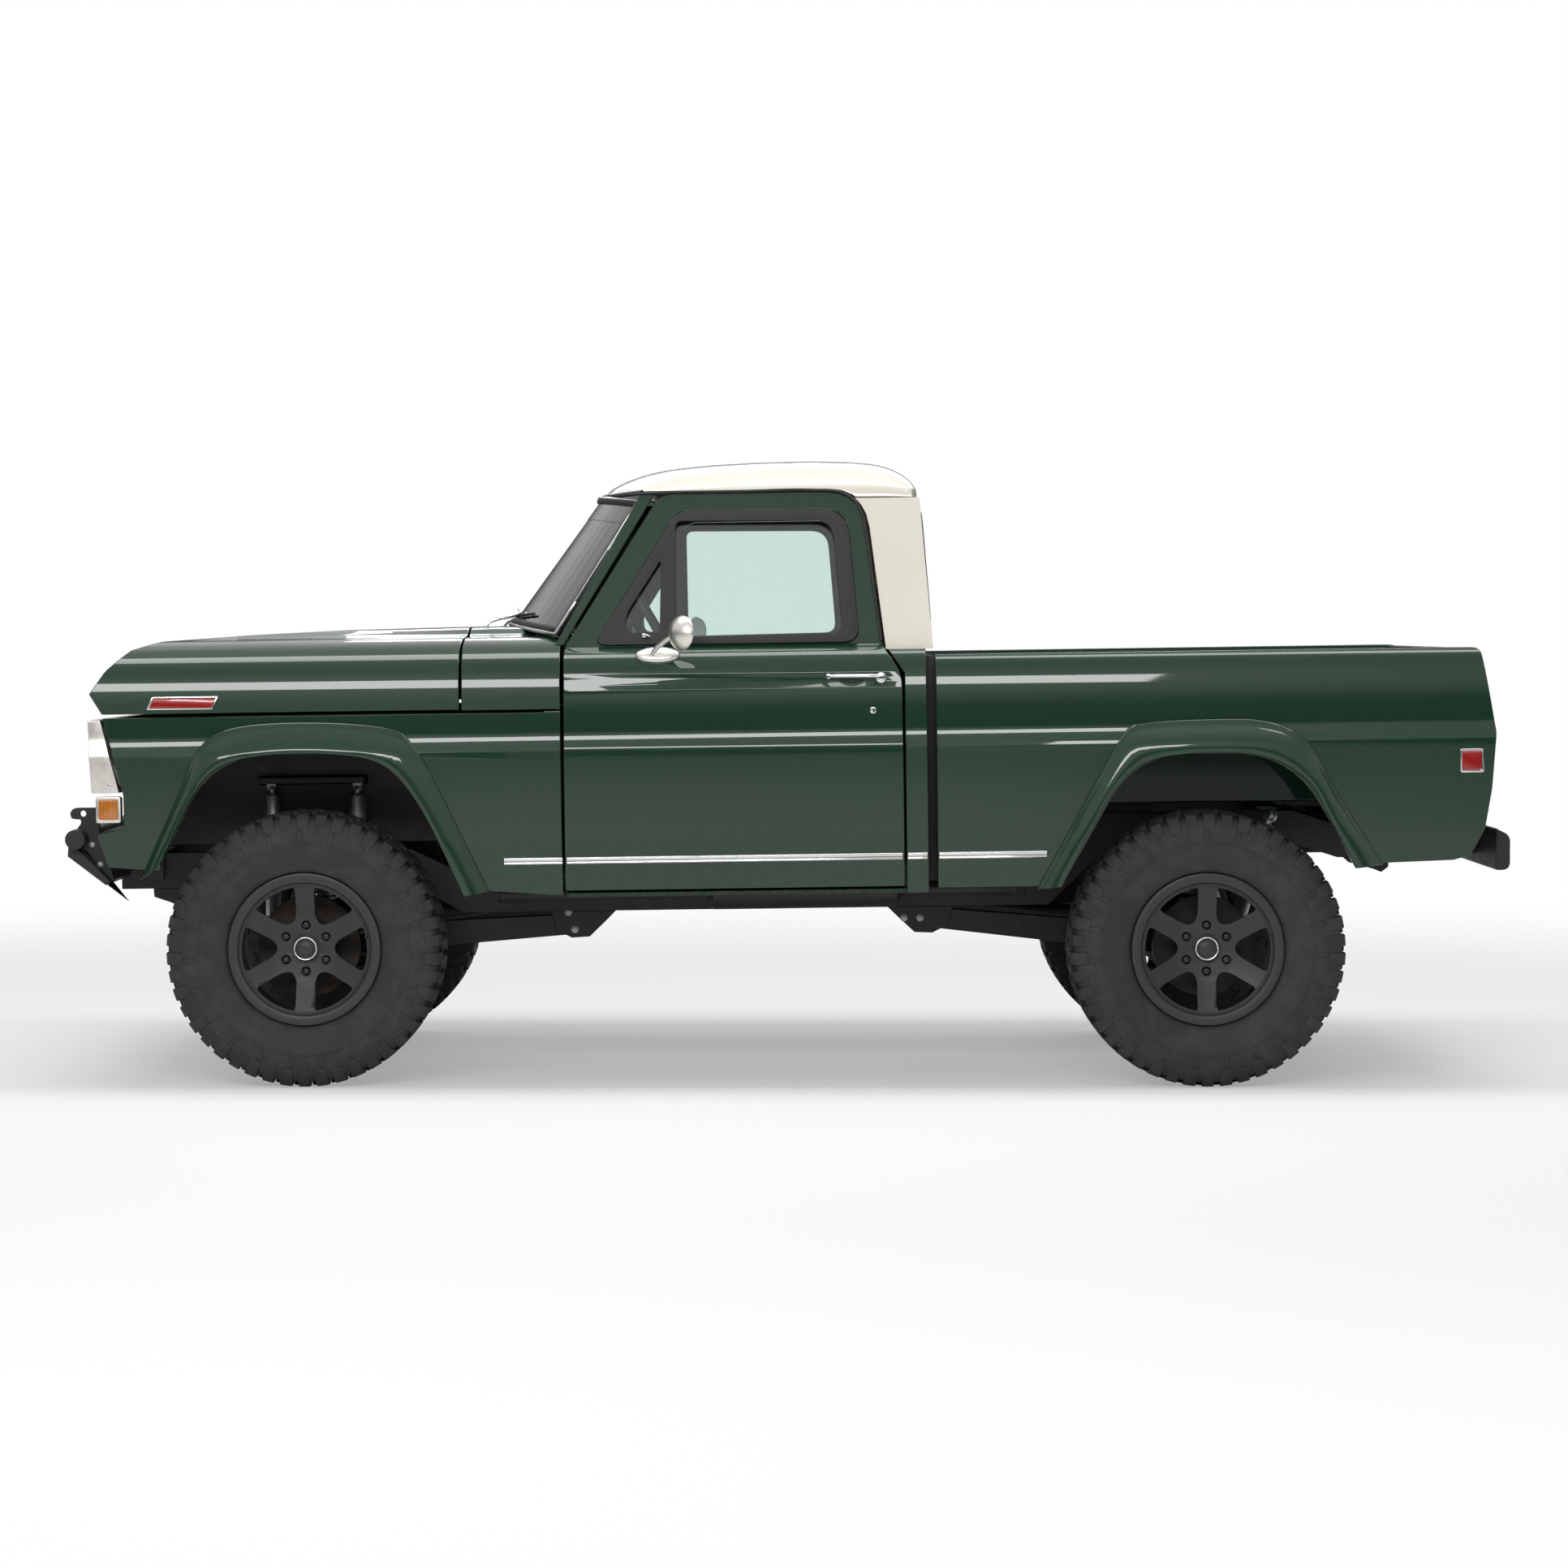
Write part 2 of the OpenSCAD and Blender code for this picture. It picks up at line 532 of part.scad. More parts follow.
bed_edge = soft([[bed_front_x, 641], [790, 641], [1935, 702], [2150, 708], [2206, 722], [2252, 809],
    [2275, 939], [2290, 1122], [2278, 1200], [2247, rail_z], [bed_front_x, rail_z]],
    [0, 0, 0, 0, 20, 10, 10, 10, 10, 24, 0]);
bed_line = smooth(concat(lower_side, [[974, 1362], [962, 1380], [945, rail_z]]), [crease], side_steps);
module bed_side_right() color("darkgreen") raked() difference() {
    union() {
        intersection() {
            along_x(bed_front_x, 2300) polygon(band(bed_line, [-skin, 0]));
            along_y(0, far) polygon(bed_edge);
        }
        // Top rail, front post and the corner that holds the tail lamp
        box([bed_front_x, 2200], [bed_in + 1, 944], [rail_z - 16, rail_z]);
        intersection() {
            along_x(bed_front_x, bed_front_x + 16) polygon(concat(bed_line, [[bed_in + 1, rail_z],
                [bed_in + 1, 600]]));
            along_y(0, far) polygon(bed_edge);
        }
        intersection() {
            along_y(880, far) polygon(bed_edge);
            along_x(2152, 2300) polygon(concat(bed_line, [[880, rail_z], [880, 600]]));
        }
    }
    along_y(0, far) polygon(rear_arch);
    box([2225, 2400], [900, 972], [930, 1200]);
    box([2175, 2245], [990, far], [998, 1062]);
    rod_y(tailgate_pin, 9.6, 879, 892);
}
module bed_side_left() { other_side() bed_side_right(); }
tailgate_pin = [2254, 925];
module tailgate() color("darkgreen") raked() {
    difference() {
        intersection() {
            along_y(-870, 870) polygon([[2212, 913], [2268, 913], [2286, 1110], [2266, 1240],
                [2246, rail_z - 4], [2208, rail_z - 4]]);
            along_x(2100, 2400) polygon(soft([[-870, 913], [870, 913], [870, rail_z - 4],
                [-870, rail_z - 4]], [6, 6, 10, 10]));
        }
        box([2150, 2222], [-600, 600], [1010, 1300]);
    }
    sides() rod_y(tailgate_pin, 9, 860, 889);
}
module tail_lamps() color("red") raked() sides() {
    along_y(902, 970) polygon([[2227, 932], [2272, 932], [2287, 1110], [2277, 1198], [2227, 1198]]);
    intersection() {
        along_x(2177, 2243) polygon(band(bed_line, [-11, 0]));
        box([2177, 2243], [900, far], [1000, 1060]);
    }
}
module rear_bumper() color([0.08, 0.08, 0.08]) difference() {
    union() {
        along_y(-900, 900) polygon(soft([[2292, 700], [2339, 700], [2339, 812], [2292, 836]],
            [6, 26, 20, 4]));
        box([2222, 2300], [-640, 640], [826, 836]);
        sides() box([2060, 2292], [rail_out + 2, rail_out + 14], [730, 800]);
    }
    translate([2318, 0, 600]) cylinder(r = 12.8, h = 400);
}
// Flares hug the body side and stand out from it
flare_line = concat([[984, 560]], [for (i = [0:8 * side_steps]) side_line[i] + [0.5, 0]]);
module flare(outer, inner) intersection() {
    difference() {
        along_y(960, 1062) polygon(outer);
        along_y(950, 1100) polygon(inner);
    }
    along_x(-far, far) polygon(concat(flare_line, [[1042, 1140], [1062, 1090], [1062, 560]]));
}
module fender_flares() color("darkgreen") raked() sides() {
    flare(front_flare, front_arch);
    flare(rear_flare, rear_arch);
}

// ---- Doors ----

module door_right() color("darkgreen") raked() difference() {
    union() {
        intersection() {
            along_x(-800, 500) polygon(concat(side_line, glass_line,
                reversed(shifted(glass_line, [-frame_t / 2, 0])),
                reversed([for (p = side_line) [p[0] - frame_t, min(p[1], belt_z - 12)]])));
            along_y(0, far) polygon(door_shape);
        }
        intersection() {
            along_x(-800, 500) polygon(concat(
                reversed(shifted(glass_line, [-frame_t / 2 + 1, 0])), [[900, 1400], [960, 1300], [970, 650]],
                [[915, 650], [915, 1360], [870, 1420]], shifted(glass_line, [-frame_t, 0])));
            along_y(0, far) polygon(door_inner);
        }
    }
    along_y(0, far) polygon(window_shape);
}
module door_left() { other_side() door_right(); }
module door_glass_right() color([0.7, 0.85, 0.8, 0.4]) raked() intersection() {
    along_x(-800, 500) polygon(concat(shifted(glass_line, [-14, 0]),
        reversed(shifted(glass_line, [-20, 0]))));
    along_y(0, far) polygon(window_shape);
}
module door_glass_left() { other_side() door_glass_right(); }
mirror_c = [-330, 1060, 1472];
module mirror_right() color("silver") raked() {
    hull() for (x = [-445, -345])
        translate([x, 968, 1388]) rotate([-40, 0, 0]) cylinder(r = 14, h = 10, $fn = 32);
    rod([-400, 975, 1394], [mirror_c[0] - 22, mirror_c[1] - 10, mirror_c[2]], 8);
    translate(mirror_c) rotate([0, 90, -24]) translate([0, 0, -18]) cylinder(r1 = 34, r2 = 62, h = 24);
}
module mirror_left() { other_side() mirror_right(); }

// ---- Steering and wheels ----

// Knuckle: hub carrier, brake disc, spindle and the arm that the tie rod turns
module knuckle_right() color("gray") {
    c = [front_axle_x, tyre_r];
    translate([c[0], kingpin_y, c[1] - 88]) cylinder(r = 26, h = 176);
    box([c[0] - 40, c[0] + 40], [kingpin_y, kingpin_y + 30], [c[1] - 60, c[1] + 60]);
    rod_y(c, 36, kingpin_y + 20, hub_y - 4);
    rod_y(c, 165, hub_y - 40, hub_y - 14);
    translate([0, 0, c[1] - 88]) linear_extrude(18) hull() {
        translate([c[0], kingpin_y]) circle(r = 26, $fn = 32);
        translate([c[0] + steer_arm, kingpin_y]) circle(r = 17, $fn = 32);
    }
}
module knuckle_left() { other_side() knuckle_right(); }
rod_z = tyre_r - 104;
link_y = -290;
module tie_rod() color("gray") {
    x = front_axle_x + steer_arm;
    rod_y([x, rod_z], 13, -kingpin_y, kingpin_y);
    for (y = [-kingpin_y, kingpin_y]) translate([x, y, rod_z - 15]) cylinder(r = 16, h = 30);
    box([x, x + 110], [link_y - 11, link_y + 11], [rod_z - 9, rod_z + 9]);
    translate([x + 110, link_y, rod_z - 12]) cylinder(r = 18, h = 24);
}
module pitman_arm() color("gray") {
    x = front_axle_x + 110;
    z = rod_z + 13;
    translate([0, 0, z]) linear_extrude(16) hull() {
        translate([x, link_y]) circle(r = 22, $fn = 32);
        translate([x + steer_arm, link_y]) circle(r = 16, $fn = 32);
    }
    translate([x, link_y, z]) cylinder(r = 15, h = 255);
}

module spun(x, s) { translate([x, s * track_half, tyre_r]) rotate([s * -90, 0, 0]) children(); }
tyre_half = tyre_w / 2;
tyre_profile = soft([[232, -108], [250, -108], [262, -128], [300, -146], [350, -tyre_half],
    [405, -tyre_half + 4], [430, -146], [tyre_r, -128], [tyre_r, 128], [430, 146], [405, tyre_half - 4],
    [350, tyre_half], [300, 146], [262, 128], [250, 108], [232, 108]],
    [0, 3, 8, 14, 14, 14, 10, 8, 8, 10, 14, 14, 14, 8, 3, 0], 3);
// Local +Z points out of the truck
module tyre() color([0.06, 0.06, 0.06]) rotate_extrude($fn = 96) polygon(tyre_profile);
spoke_count = 6;
module wheel() color([0.15, 0.15, 0.15]) {
    // Barrel, both flanges and the lip inside the outer flange
    rotate_extrude($fn = 96) polygon([[222, -122], [rim_r, -122], [rim_r, -108], [232, -108], [232, 108],
        [rim_r, 108], [rim_r, 122], [222, 121], [200, 117], [200, 106], [222, 106]]);
    // Hub and spokes
    translate([0, 0, -28]) cylinder(r = 92, h = 88);
    translate([0, 0, 58]) cylinder(r = 42, h = 34);
    for (i = [0:spoke_count - 1]) rotate([0, 0, 90 + i * 360 / spoke_count]) spoke();
}
module spoke() {
    intersection() {
        translate([60, -40, 30]) cube([150, 80, 92]);
        along_y(-40, 40) polygon([[60, 30], [212, 84], [212, 118], [120, 84], [60, 66]]);
        linear_extrude(200) polygon([[60, -40], [212, -26], [212, 26], [60, 40]]);
    }
}
module tyre_front_right() { spun(front_axle_x, 1) tyre(); }
module tyre_front_left() { spun(front_axle_x, -1) tyre(); }
module tyre_rear_right() { spun(rear_axle_x, 1) tyre(); }
module tyre_rear_left() { spun(rear_axle_x, -1) tyre(); }
module wheel_front_right() { spun(front_axle_x, 1) wheel(); }
module wheel_front_left() { spun(front_axle_x, -1) wheel(); }
module wheel_rear_right() { spun(rear_axle_x, 1) wheel(); }
module wheel_rear_left() { spun(rear_axle_x, -1) wheel(); }

frame_rails();
frame_crossmembers();
frame_brackets();
shock_hoops();
engine_block();
gearbox();
propeller_shafts();
exhaust();
fuel_tank();
front_axle();
rear_axle();
suspension_arms();
coil_springs();
shock_absorbers();
cab_floor();
cab_rear();
cowl();
windshield_posts();
cab_roof();
windshield();
rear_window();
bench_seat();
dashboard();
steering_column();
steering_wheel();
fender_right();
fender_left();
inner_fenders();
front_valance();
grille();
front_lamps();
front_bumper();
hood();
bed_floor();
bed_walls();
wheel_housings();
bed_side_right();
bed_side_left();
tailgate();
tail_lamps();
rear_bumper();
fender_flares();
door_right();
door_left();
door_glass_right();
door_glass_left();
mirror_right();
mirror_left();
knuckle_right();
knuckle_left();
tie_rod();
pitman_arm();
tyre_front_right();
tyre_front_left();
tyre_rear_right();
tyre_rear_left();
wheel_front_right();
wheel_front_left();
wheel_rear_right();
wheel_rear_left();
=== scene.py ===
# %% [markdown]
# # A lifted pickup, modelled piece by piece
# The construction comes ready made: every panel, axle and hinge of the truck is already in place,
# at its real size. This lesson gives it its looks. We start by loading that frame. Nothing that
# we add may make the truck bigger than it is.

# %% Load the frame
import bpy, json, math
from mathutils import Matrix, Vector

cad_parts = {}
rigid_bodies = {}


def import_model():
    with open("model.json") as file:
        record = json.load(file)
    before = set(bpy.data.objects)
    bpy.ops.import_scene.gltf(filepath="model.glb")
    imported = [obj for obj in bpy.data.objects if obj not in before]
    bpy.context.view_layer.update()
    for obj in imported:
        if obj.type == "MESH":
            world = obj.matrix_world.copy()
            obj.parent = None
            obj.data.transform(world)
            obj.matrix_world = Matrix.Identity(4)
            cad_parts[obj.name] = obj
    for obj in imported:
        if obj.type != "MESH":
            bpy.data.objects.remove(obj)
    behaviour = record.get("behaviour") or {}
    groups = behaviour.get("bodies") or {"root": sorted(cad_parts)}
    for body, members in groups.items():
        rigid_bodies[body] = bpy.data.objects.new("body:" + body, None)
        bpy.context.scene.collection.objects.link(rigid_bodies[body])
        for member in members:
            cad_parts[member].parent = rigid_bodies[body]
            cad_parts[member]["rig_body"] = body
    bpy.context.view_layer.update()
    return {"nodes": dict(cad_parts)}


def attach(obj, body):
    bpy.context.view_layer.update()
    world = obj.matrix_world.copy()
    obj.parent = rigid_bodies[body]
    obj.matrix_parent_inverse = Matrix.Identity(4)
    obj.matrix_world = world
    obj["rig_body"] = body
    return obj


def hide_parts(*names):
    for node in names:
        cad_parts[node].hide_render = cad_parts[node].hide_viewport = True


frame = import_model()
nodes = frame["nodes"]

# %% [markdown]
# ## Camera
# The truck is seen square from the driver's side, from standing eye height and from far away with
# a long lens. Such a view flattens the shape and keeps both wheels round. The camera looks down
# by two degrees, so that the truck sits a little above the middle of the view.

# %% Camera
MM = 0.001
CAMERA_PLACE = (-0.0144, -14.46, 1.493)
LOOK_DOWN = math.radians(2.17)
camera_data = bpy.data.cameras.new("camera")
camera_data.lens = 96.2
camera_data.sensor_width = 36
camera = bpy.data.objects.new("camera", camera_data)
camera.location = CAMERA_PLACE
camera.rotation_euler = (math.pi / 2 - LOOK_DOWN, 0, 0)
bpy.context.scene.collection.objects.link(camera)
bpy.context.scene.camera = camera
print("camera", round(-CAMERA_PLACE[1], 2), "m from the centreline")

# %% [markdown]
# ## A way to write materials
# A material is a graph of nodes. Wiring it by hand is long to read, so one small class wraps a
# socket and lets it take part in sums: `noise * 0.2 + 0.5` then adds the Math nodes by itself. Every
# other node comes from `Graph.node`, which takes its type, its settings and its inputs.

# %% Sockets that can be added and multiplied
class Sock:
    """The output of a shader node, which adds Math nodes when it is used in a sum."""

    def __init__(self, graph, socket):
        self.graph = graph
        self.socket = socket

    def math(self, operation, first, second=0.0):
        return self.graph.node("Math", {"operation": operation}, {0: first, 1: second})

    def __add__(self, other):
        return self.math("ADD", self, other)

    __radd__ = __add__

    def __sub__(self, other):
        return self.math("SUBTRACT", self, other)

    def __rsub__(self, other):
        return self.math("SUBTRACT", other, self)

    def __mul__(self, other):
        return self.math("MULTIPLY", self, other)

    __rmul__ = __mul__

    def ramp(self, low, high):
        """0 below low, 1 above high and a soft step between them."""
        settings = {"interpolation_type": "SMOOTHSTEP"}
        return self.graph.node("MapRange", settings, {"Value": self, "From Min": low, "From Max": high})


class Graph:
    """The node tree of one material."""

    def __init__(self, name):
        self.material = bpy.data.materials.new(name)
        self.material.use_nodes = True
        self.tree = self.material.node_tree
        self.tree.nodes.clear()

    def node(self, kind, settings, inputs, output=0):
        made = self.tree.nodes.new("ShaderNode" + kind)
        for key, value in settings.items():
            setattr(made, key, value)
        for key, value in inputs.items():
            if isinstance(value, Sock):
                self.tree.links.new(value.socket, made.inputs[key])
            else:
                made.inputs[key].default_value = value
        return Sock(self, made.outputs[output])

    def noise(self, scale, detail=3, rough=0.5, stretch=(1, 1, 1)):
        where = self.node("TexCoord", {}, {}, "Object")
        where = self.node("Mapping", {}, {"Vector": where, "Scale": stretch})
        values = {"Vector": where, "Scale": scale, "Detail": detail, "Roughness": rough}
        return self.node("TexNoise", {}, values, "Fac")

    def place(self, axis):
        where = self.node("TexCoord", {}, {}, "Object")
        return self.node("SeparateXYZ", {}, {0: where}, axis)

    def mix(self, factor, first, second):
        values = {0: factor, 6: rgba(first), 7: rgba(second)}
        return self.node("Mix", {"data_type": "RGBA"}, values, 2)

    def bump(self, height, distance, strength=1.0):
        return self.node("Bump", {}, {"Height": height, "Distance": distance, "Strength": strength})

    def finish(self, surface):
        end = self.tree.nodes.new("ShaderNodeOutputMaterial")
        self.tree.links.new(surface.socket, end.inputs["Surface"])
        return self.material

    def principled(self, **inputs):
        values = {key.replace("_", " "): value for key, value in inputs.items()}
        return self.finish(self.node("BsdfPrincipled", {}, values))


def rgba(colour):
    return colour if isinstance(colour, Sock) else (*colour[:3], 1.0)


print("shader helpers ready")

# %% [markdown]
# ## Studio
# The floor is a large pale sheet. The lamps are soft: one wide sheet of light overhead, one from the
# front and a weaker one from behind, so that the paint keeps long calm reflections.
# The white background is what the camera sees, directly, in gloss and through glass. In gloss it
# fades out at the horizon, like the dark far wall of a studio: that dark line is what draws the
# shape of a shiny side panel, and without it dark paint looks like plastic.

# %% Floor, world and lamps
def select_only(piece):
    bpy.ops.object.select_all(action="DESELECT")
    piece.select_set(True)
    bpy.context.view_layer.objects.active = piece


def studio_floor():
    bpy.ops.object.select_all(action="DESELECT")
    bpy.ops.mesh.primitive_plane_add(size=60, location=(0, 0, -0.001))
    floor = bpy.context.active_object
    floor.name = "studio_floor"
    g = Graph("studio_floor")
    seen = g.node("LightPath", {}, {}, "Is Camera Ray")
    through = g.node("LightPath", {}, {}, "Is Transmission Ray")
    away = g.node("VectorMath", {"operation": "LENGTH"}, {0: g.node("TexCoord", {}, {}, "Object")}, "Value")
    far = away.ramp(3.5, 9.0) * 0.65 + 0.35
    diffuse = g.node("BsdfDiffuse", {}, {"Color": (0.86, 0.86, 0.86, 1)})
    white = g.node("Emission", {}, {"Color": (1, 1, 1, 1), "Strength": 1.0})
    lift = (seen + through) * far
    floor.data.materials.append(g.finish(g.node("MixShader", {}, {0: lift, 1: diffuse, 2: white})))
    return floor


def studio_world():
    world = bpy.data.worlds.new("studio")
    world.use_nodes = True
    bpy.context.scene.world = world
    g = Graph.__new__(Graph)
    g.tree = world.node_tree
    g.tree.nodes.clear()
    seen = g.node("LightPath", {}, {}, "Is Camera Ray")
    through = g.node("LightPath", {}, {}, "Is Transmission Ray")
    mirrored = g.node("LightPath", {}, {}, "Is Glossy Ray")
    where = g.node("TexCoord", {}, {}, "Generated")
    height = g.node("SeparateXYZ", {}, {0: where}, "Z")
    off_horizon = g.node("Math", {"operation": "ABSOLUTE"}, {0: height}).ramp(0.06, 0.26) * 0.62
    off_horizon = off_horizon - height.ramp(0.42, 0.72) * 0.5
    direct = g.node("Math", {"operation": "MAXIMUM"}, {0: seen, 1: through})
    direct = g.node("Math", {"operation": "MAXIMUM"}, {0: direct, 1: mirrored * off_horizon})
    sky = height.ramp(0.0, 0.9) * 0.50 + 0.06
    light = g.node("Background", {}, {"Color": (1, 1, 1, 1), "Strength": sky})
    white = g.node("Background", {}, {"Color": (1, 1, 1, 1), "Strength": 1.0})
    both = g.node("MixShader", {}, {0: direct, 1: light, 2: white})
    end = g.tree.nodes.new("ShaderNodeOutputWorld")
    g.tree.links.new(both.socket, end.inputs["Surface"])


def soft_lamp(name, place, aim, size, power):
    data = bpy.data.lights.new(name, "AREA")
    data.shape = "RECTANGLE"
    data.size, data.size_y = size
    data.energy = power
    lamp = bpy.data.objects.new(name, data)
    lamp.location = place
    lamp.rotation_euler = (Vector(aim) - Vector(place)).to_track_quat("-Z", "Y").to_euler()
    bpy.context.scene.collection.objects.link(lamp)


studio_floor()
studio_world()
soft_lamp("overhead", (0, -0.6, 5.6), (0, 0, 0), (8.0, 1.8), 235)
soft_lamp("front", (-1.5, -9.0, 4.6), (0, 0, 0.8), (7.0, 1.2), 300)
soft_lamp("back", (1.0, 8.0, 4.2), (0, 0, 1.0), (7.0, 1.6), 110)
bpy.context.scene.view_settings.view_transform = "Standard"
print("studio: floor, world and", len(bpy.data.lights), "soft lamps")

# %% [markdown]
# ## Paint
# The body is a dark green under clear lacquer. The colour itself is dull; the shine is a second,
# very smooth layer on top, so it goes into the shader's coat. A faint waviness in the coat, called
# orange peel, keeps the reflections from looking like plastic. Low down a thin haze of road dust
# dulls the shine. The roof has the same build in warm off-white.

# %% Paint materials
def paint(name, colour, dust_to=0.0):
    g = Graph(name)
    broad = g.noise(0.7, 2)
    shade = g.mix(broad.ramp(0.3, 0.7), [c * 0.93 for c in colour], [c * 1.07 for c in colour])
    grain = g.noise(38, 5, 0.65)
    low = 1 - g.place("Z").ramp(0.45, 0.95)
    dust = low * grain.ramp(0.42, 0.75) * dust_to
    shade = g.mix(dust, shade, (0.23, 0.20, 0.16))
    peel = g.bump(g.noise(190, 2), 0.0004, 0.05)
    return g.principled(
        Base_Color=shade,
        Roughness=grain * 0.10 + dust * 0.6 + 0.30,
        Specular_IOR_Level=0.12,
        Coat_Weight=1 - dust,
        Coat_Roughness=0.035,
        Normal=peel,
    )


GREEN = (0.006, 0.034, 0.015)
CREAM = (0.78, 0.74, 0.65)
green_paint = paint("green_paint", GREEN, 0.10)
# The inside surfaces get a copy of the green paint made a quarter darker: painted shade, with more road dust
# on it.
green_inside_shaded = paint("green_inside_shaded", [c * 0.75 for c in GREEN], 0.25)
cream_paint = paint("cream_paint", CREAM)
print("paint: green, cream")

# %% [markdown]
# ## Metal
# Chrome and stainless trim are nearly mirrors; what tells them apart from a mirror is a patchy
# roughness from polishing and fingers. The frame, axles and bumpers are satin black paint over
# rough steel, and castings have a coarse grain with rust-brown in the hollows.

# %% Metal materials
def bright_metal(name, colour, rough):
    g = Graph(name)
    smudge = g.noise(14, 4, 0.6)
    fine = g.noise(420, 2, 0.5, (1, 6, 1))
    return g.principled(
        Base_Color=g.mix(smudge, [c * 0.94 for c in colour], colour),
        Metallic=1.0,
        Roughness=smudge * rough + fine * rough * 0.5 + 0.03,
    )


def black_steel_paint(name, colour, shine, dirt=0.15):
    g = Graph(name)
    patch = g.noise(9, 5, 0.6)
    grain = g.noise(260, 3)
    shade = g.mix(patch.ramp(0.55, 0.8) * dirt, colour, (0.10, 0.085, 0.065))
    return g.principled(
        Base_Color=shade,
        Roughness=patch * 0.22 + shine,
        Normal=g.bump(grain, 0.0006, 0.25),
    )


def casting(name):
    g = Graph(name)
    patch = g.noise(12, 6, 0.7)
    grain = g.noise(140, 4, 0.7)
    return g.principled(
        Base_Color=g.mix(patch.ramp(0.4, 0.7), (0.035, 0.034, 0.033), (0.085, 0.06, 0.042)),
        Metallic=0.55,
        Roughness=patch * 0.25 + 0.5,
        Normal=g.bump(grain, 0.0015, 0.5),
    )


chrome = bright_metal("chrome", (0.83, 0.84, 0.85), 0.07)
stainless = bright_metal("stainless", (0.72, 0.73, 0.72), 0.20)
lamp_metal = bright_metal("lamp_metal", (0.80, 0.78, 0.72), 0.42)
bare_steel = bright_metal("bare_steel", (0.42, 0.42, 0.41), 0.65)
frame_black = black_steel_paint("frame_black", (0.012, 0.012, 0.012), 0.38, 0.35)
bumper_black = black_steel_paint("bumper_black", (0.014, 0.014, 0.015), 0.30)
alloy_black = black_steel_paint("alloy_black", (0.026, 0.027, 0.028), 0.36, 0.06)
cast_iron = casting("cast_iron")
print("metal: chrome, stainless, lamp, steel, frame, bumper, alloy, cast iron")

# %% [markdown]
# ## Rubber, plastic, glass and seat cover
# Tyre rubber is dark grey rather than black, dull, and dusty in its grooves. Glass is made from two
# simple shaders: clear tinted see-through, and a mirror whose share grows towards the edge of sight
# as real glass does. Lenses are coloured plastic with a ribbed back. The seat is grained vinyl.

# %% Soft and clear materials
def tyre_rubber(name):
    g = Graph(name)
    patch = g.noise(16, 5, 0.6)
    grain = g.noise(320, 3, 0.6)
    shade = g.mix(patch.ramp(0.35, 0.75), (0.020, 0.020, 0.021), (0.040, 0.038, 0.035))
    return g.principled(
        Base_Color=shade,
        Roughness=patch * 0.18 + 0.62,
        Normal=g.bump(grain, 0.0008, 0.4),
    )


def moulded(name, colour, shine, grain_size=350):
    g = Graph(name)
    patch = g.noise(6, 3)
    return g.principled(
        Base_Color=g.mix(patch, [c * 0.85 for c in colour], [c * 1.12 for c in colour]),
        Roughness=patch * 0.15 + shine,
        Normal=g.bump(g.noise(grain_size, 3), 0.0005, 0.3),
    )


def clear_glass(name, tint):
    g = Graph(name)
    smear = g.noise(5, 3)
    see = g.node("BsdfTransparent", {}, {"Color": (*tint, 1)})
    shine = g.node("BsdfGlossy", {}, {"Color": (1, 1, 1, 1), "Roughness": smear * 0.03})
    edge = g.node("Fresnel", {}, {"IOR": 1.5})
    return g.finish(g.node("MixShader", {}, {0: edge * 1.3 + 0.02, 1: see, 2: shine}))


def lens(name, colour, rib):
    g = Graph(name)
    where = g.node("TexCoord", {}, {}, "Object")
    settings = {"wave_type": "BANDS", "bands_direction": "X"}
    ribs = g.node("TexWave", settings, {"Vector": where, "Scale": rib}, "Fac")
    # The rib bands are painted darker, at less than half the lens colour: painted shade in the ribs.
    rib_shade = [c * 0.45 for c in colour]
    return g.principled(
        Base_Color=g.mix(ribs, rib_shade, colour),
        Roughness=ribs * 0.1 + 0.12,
        Coat_Weight=1.0,
        Coat_Roughness=0.02,
        Normal=g.bump(ribs, 0.002, 0.5),
    )


def vinyl(name, colour):
    g = Graph(name)
    where = g.node("TexCoord", {}, {}, "Object")
    settings = {"feature": "DISTANCE_TO_EDGE"}
    cells = g.node("TexVoronoi", settings, {"Vector": where, "Scale": 330}, "Distance")
    patch = g.noise(3, 4, 0.6)
    wear = patch.ramp(0.55, 0.8)
    return g.principled(
        Base_Color=g.mix(wear * 0.5, colour, [c * 1.4 for c in colour]),
        Roughness=0.50 - wear * 0.12,
        Normal=g.bump(cells.ramp(0.0, 0.12), 0.0006, 0.5),
    )


rubber = tyre_rubber("tyre_rubber")
seal_rubber = moulded("seal_rubber", (0.012, 0.012, 0.012), 0.55)
black_plastic = moulded("black_plastic", (0.018, 0.018, 0.019), 0.45)
dash_plastic = moulded("dash_plastic", (0.030, 0.034, 0.030), 0.5)
clear = clear_glass("window_glass", (0.91, 0.97, 0.95))
tinted_band = clear_glass("sun_band", (0.10, 0.30, 0.26))
red_lens = lens("red_lens", (0.50, 0.012, 0.010), 60)
amber_lens = lens("amber_lens", (0.75, 0.24, 0.02), 55)
clear_lens = lens("clear_lens", (0.80, 0.80, 0.78), 40)
seat_vinyl = vinyl("seat_vinyl", (0.22, 0.13, 0.075))
print("rubber, plastic, glass, lenses and vinyl")

# %% [markdown]
# ## Give every construction node a finish
# The nodes whose shape is already right keep it and only get a material. The rest are hidden later
# by the pieces that stand for them.

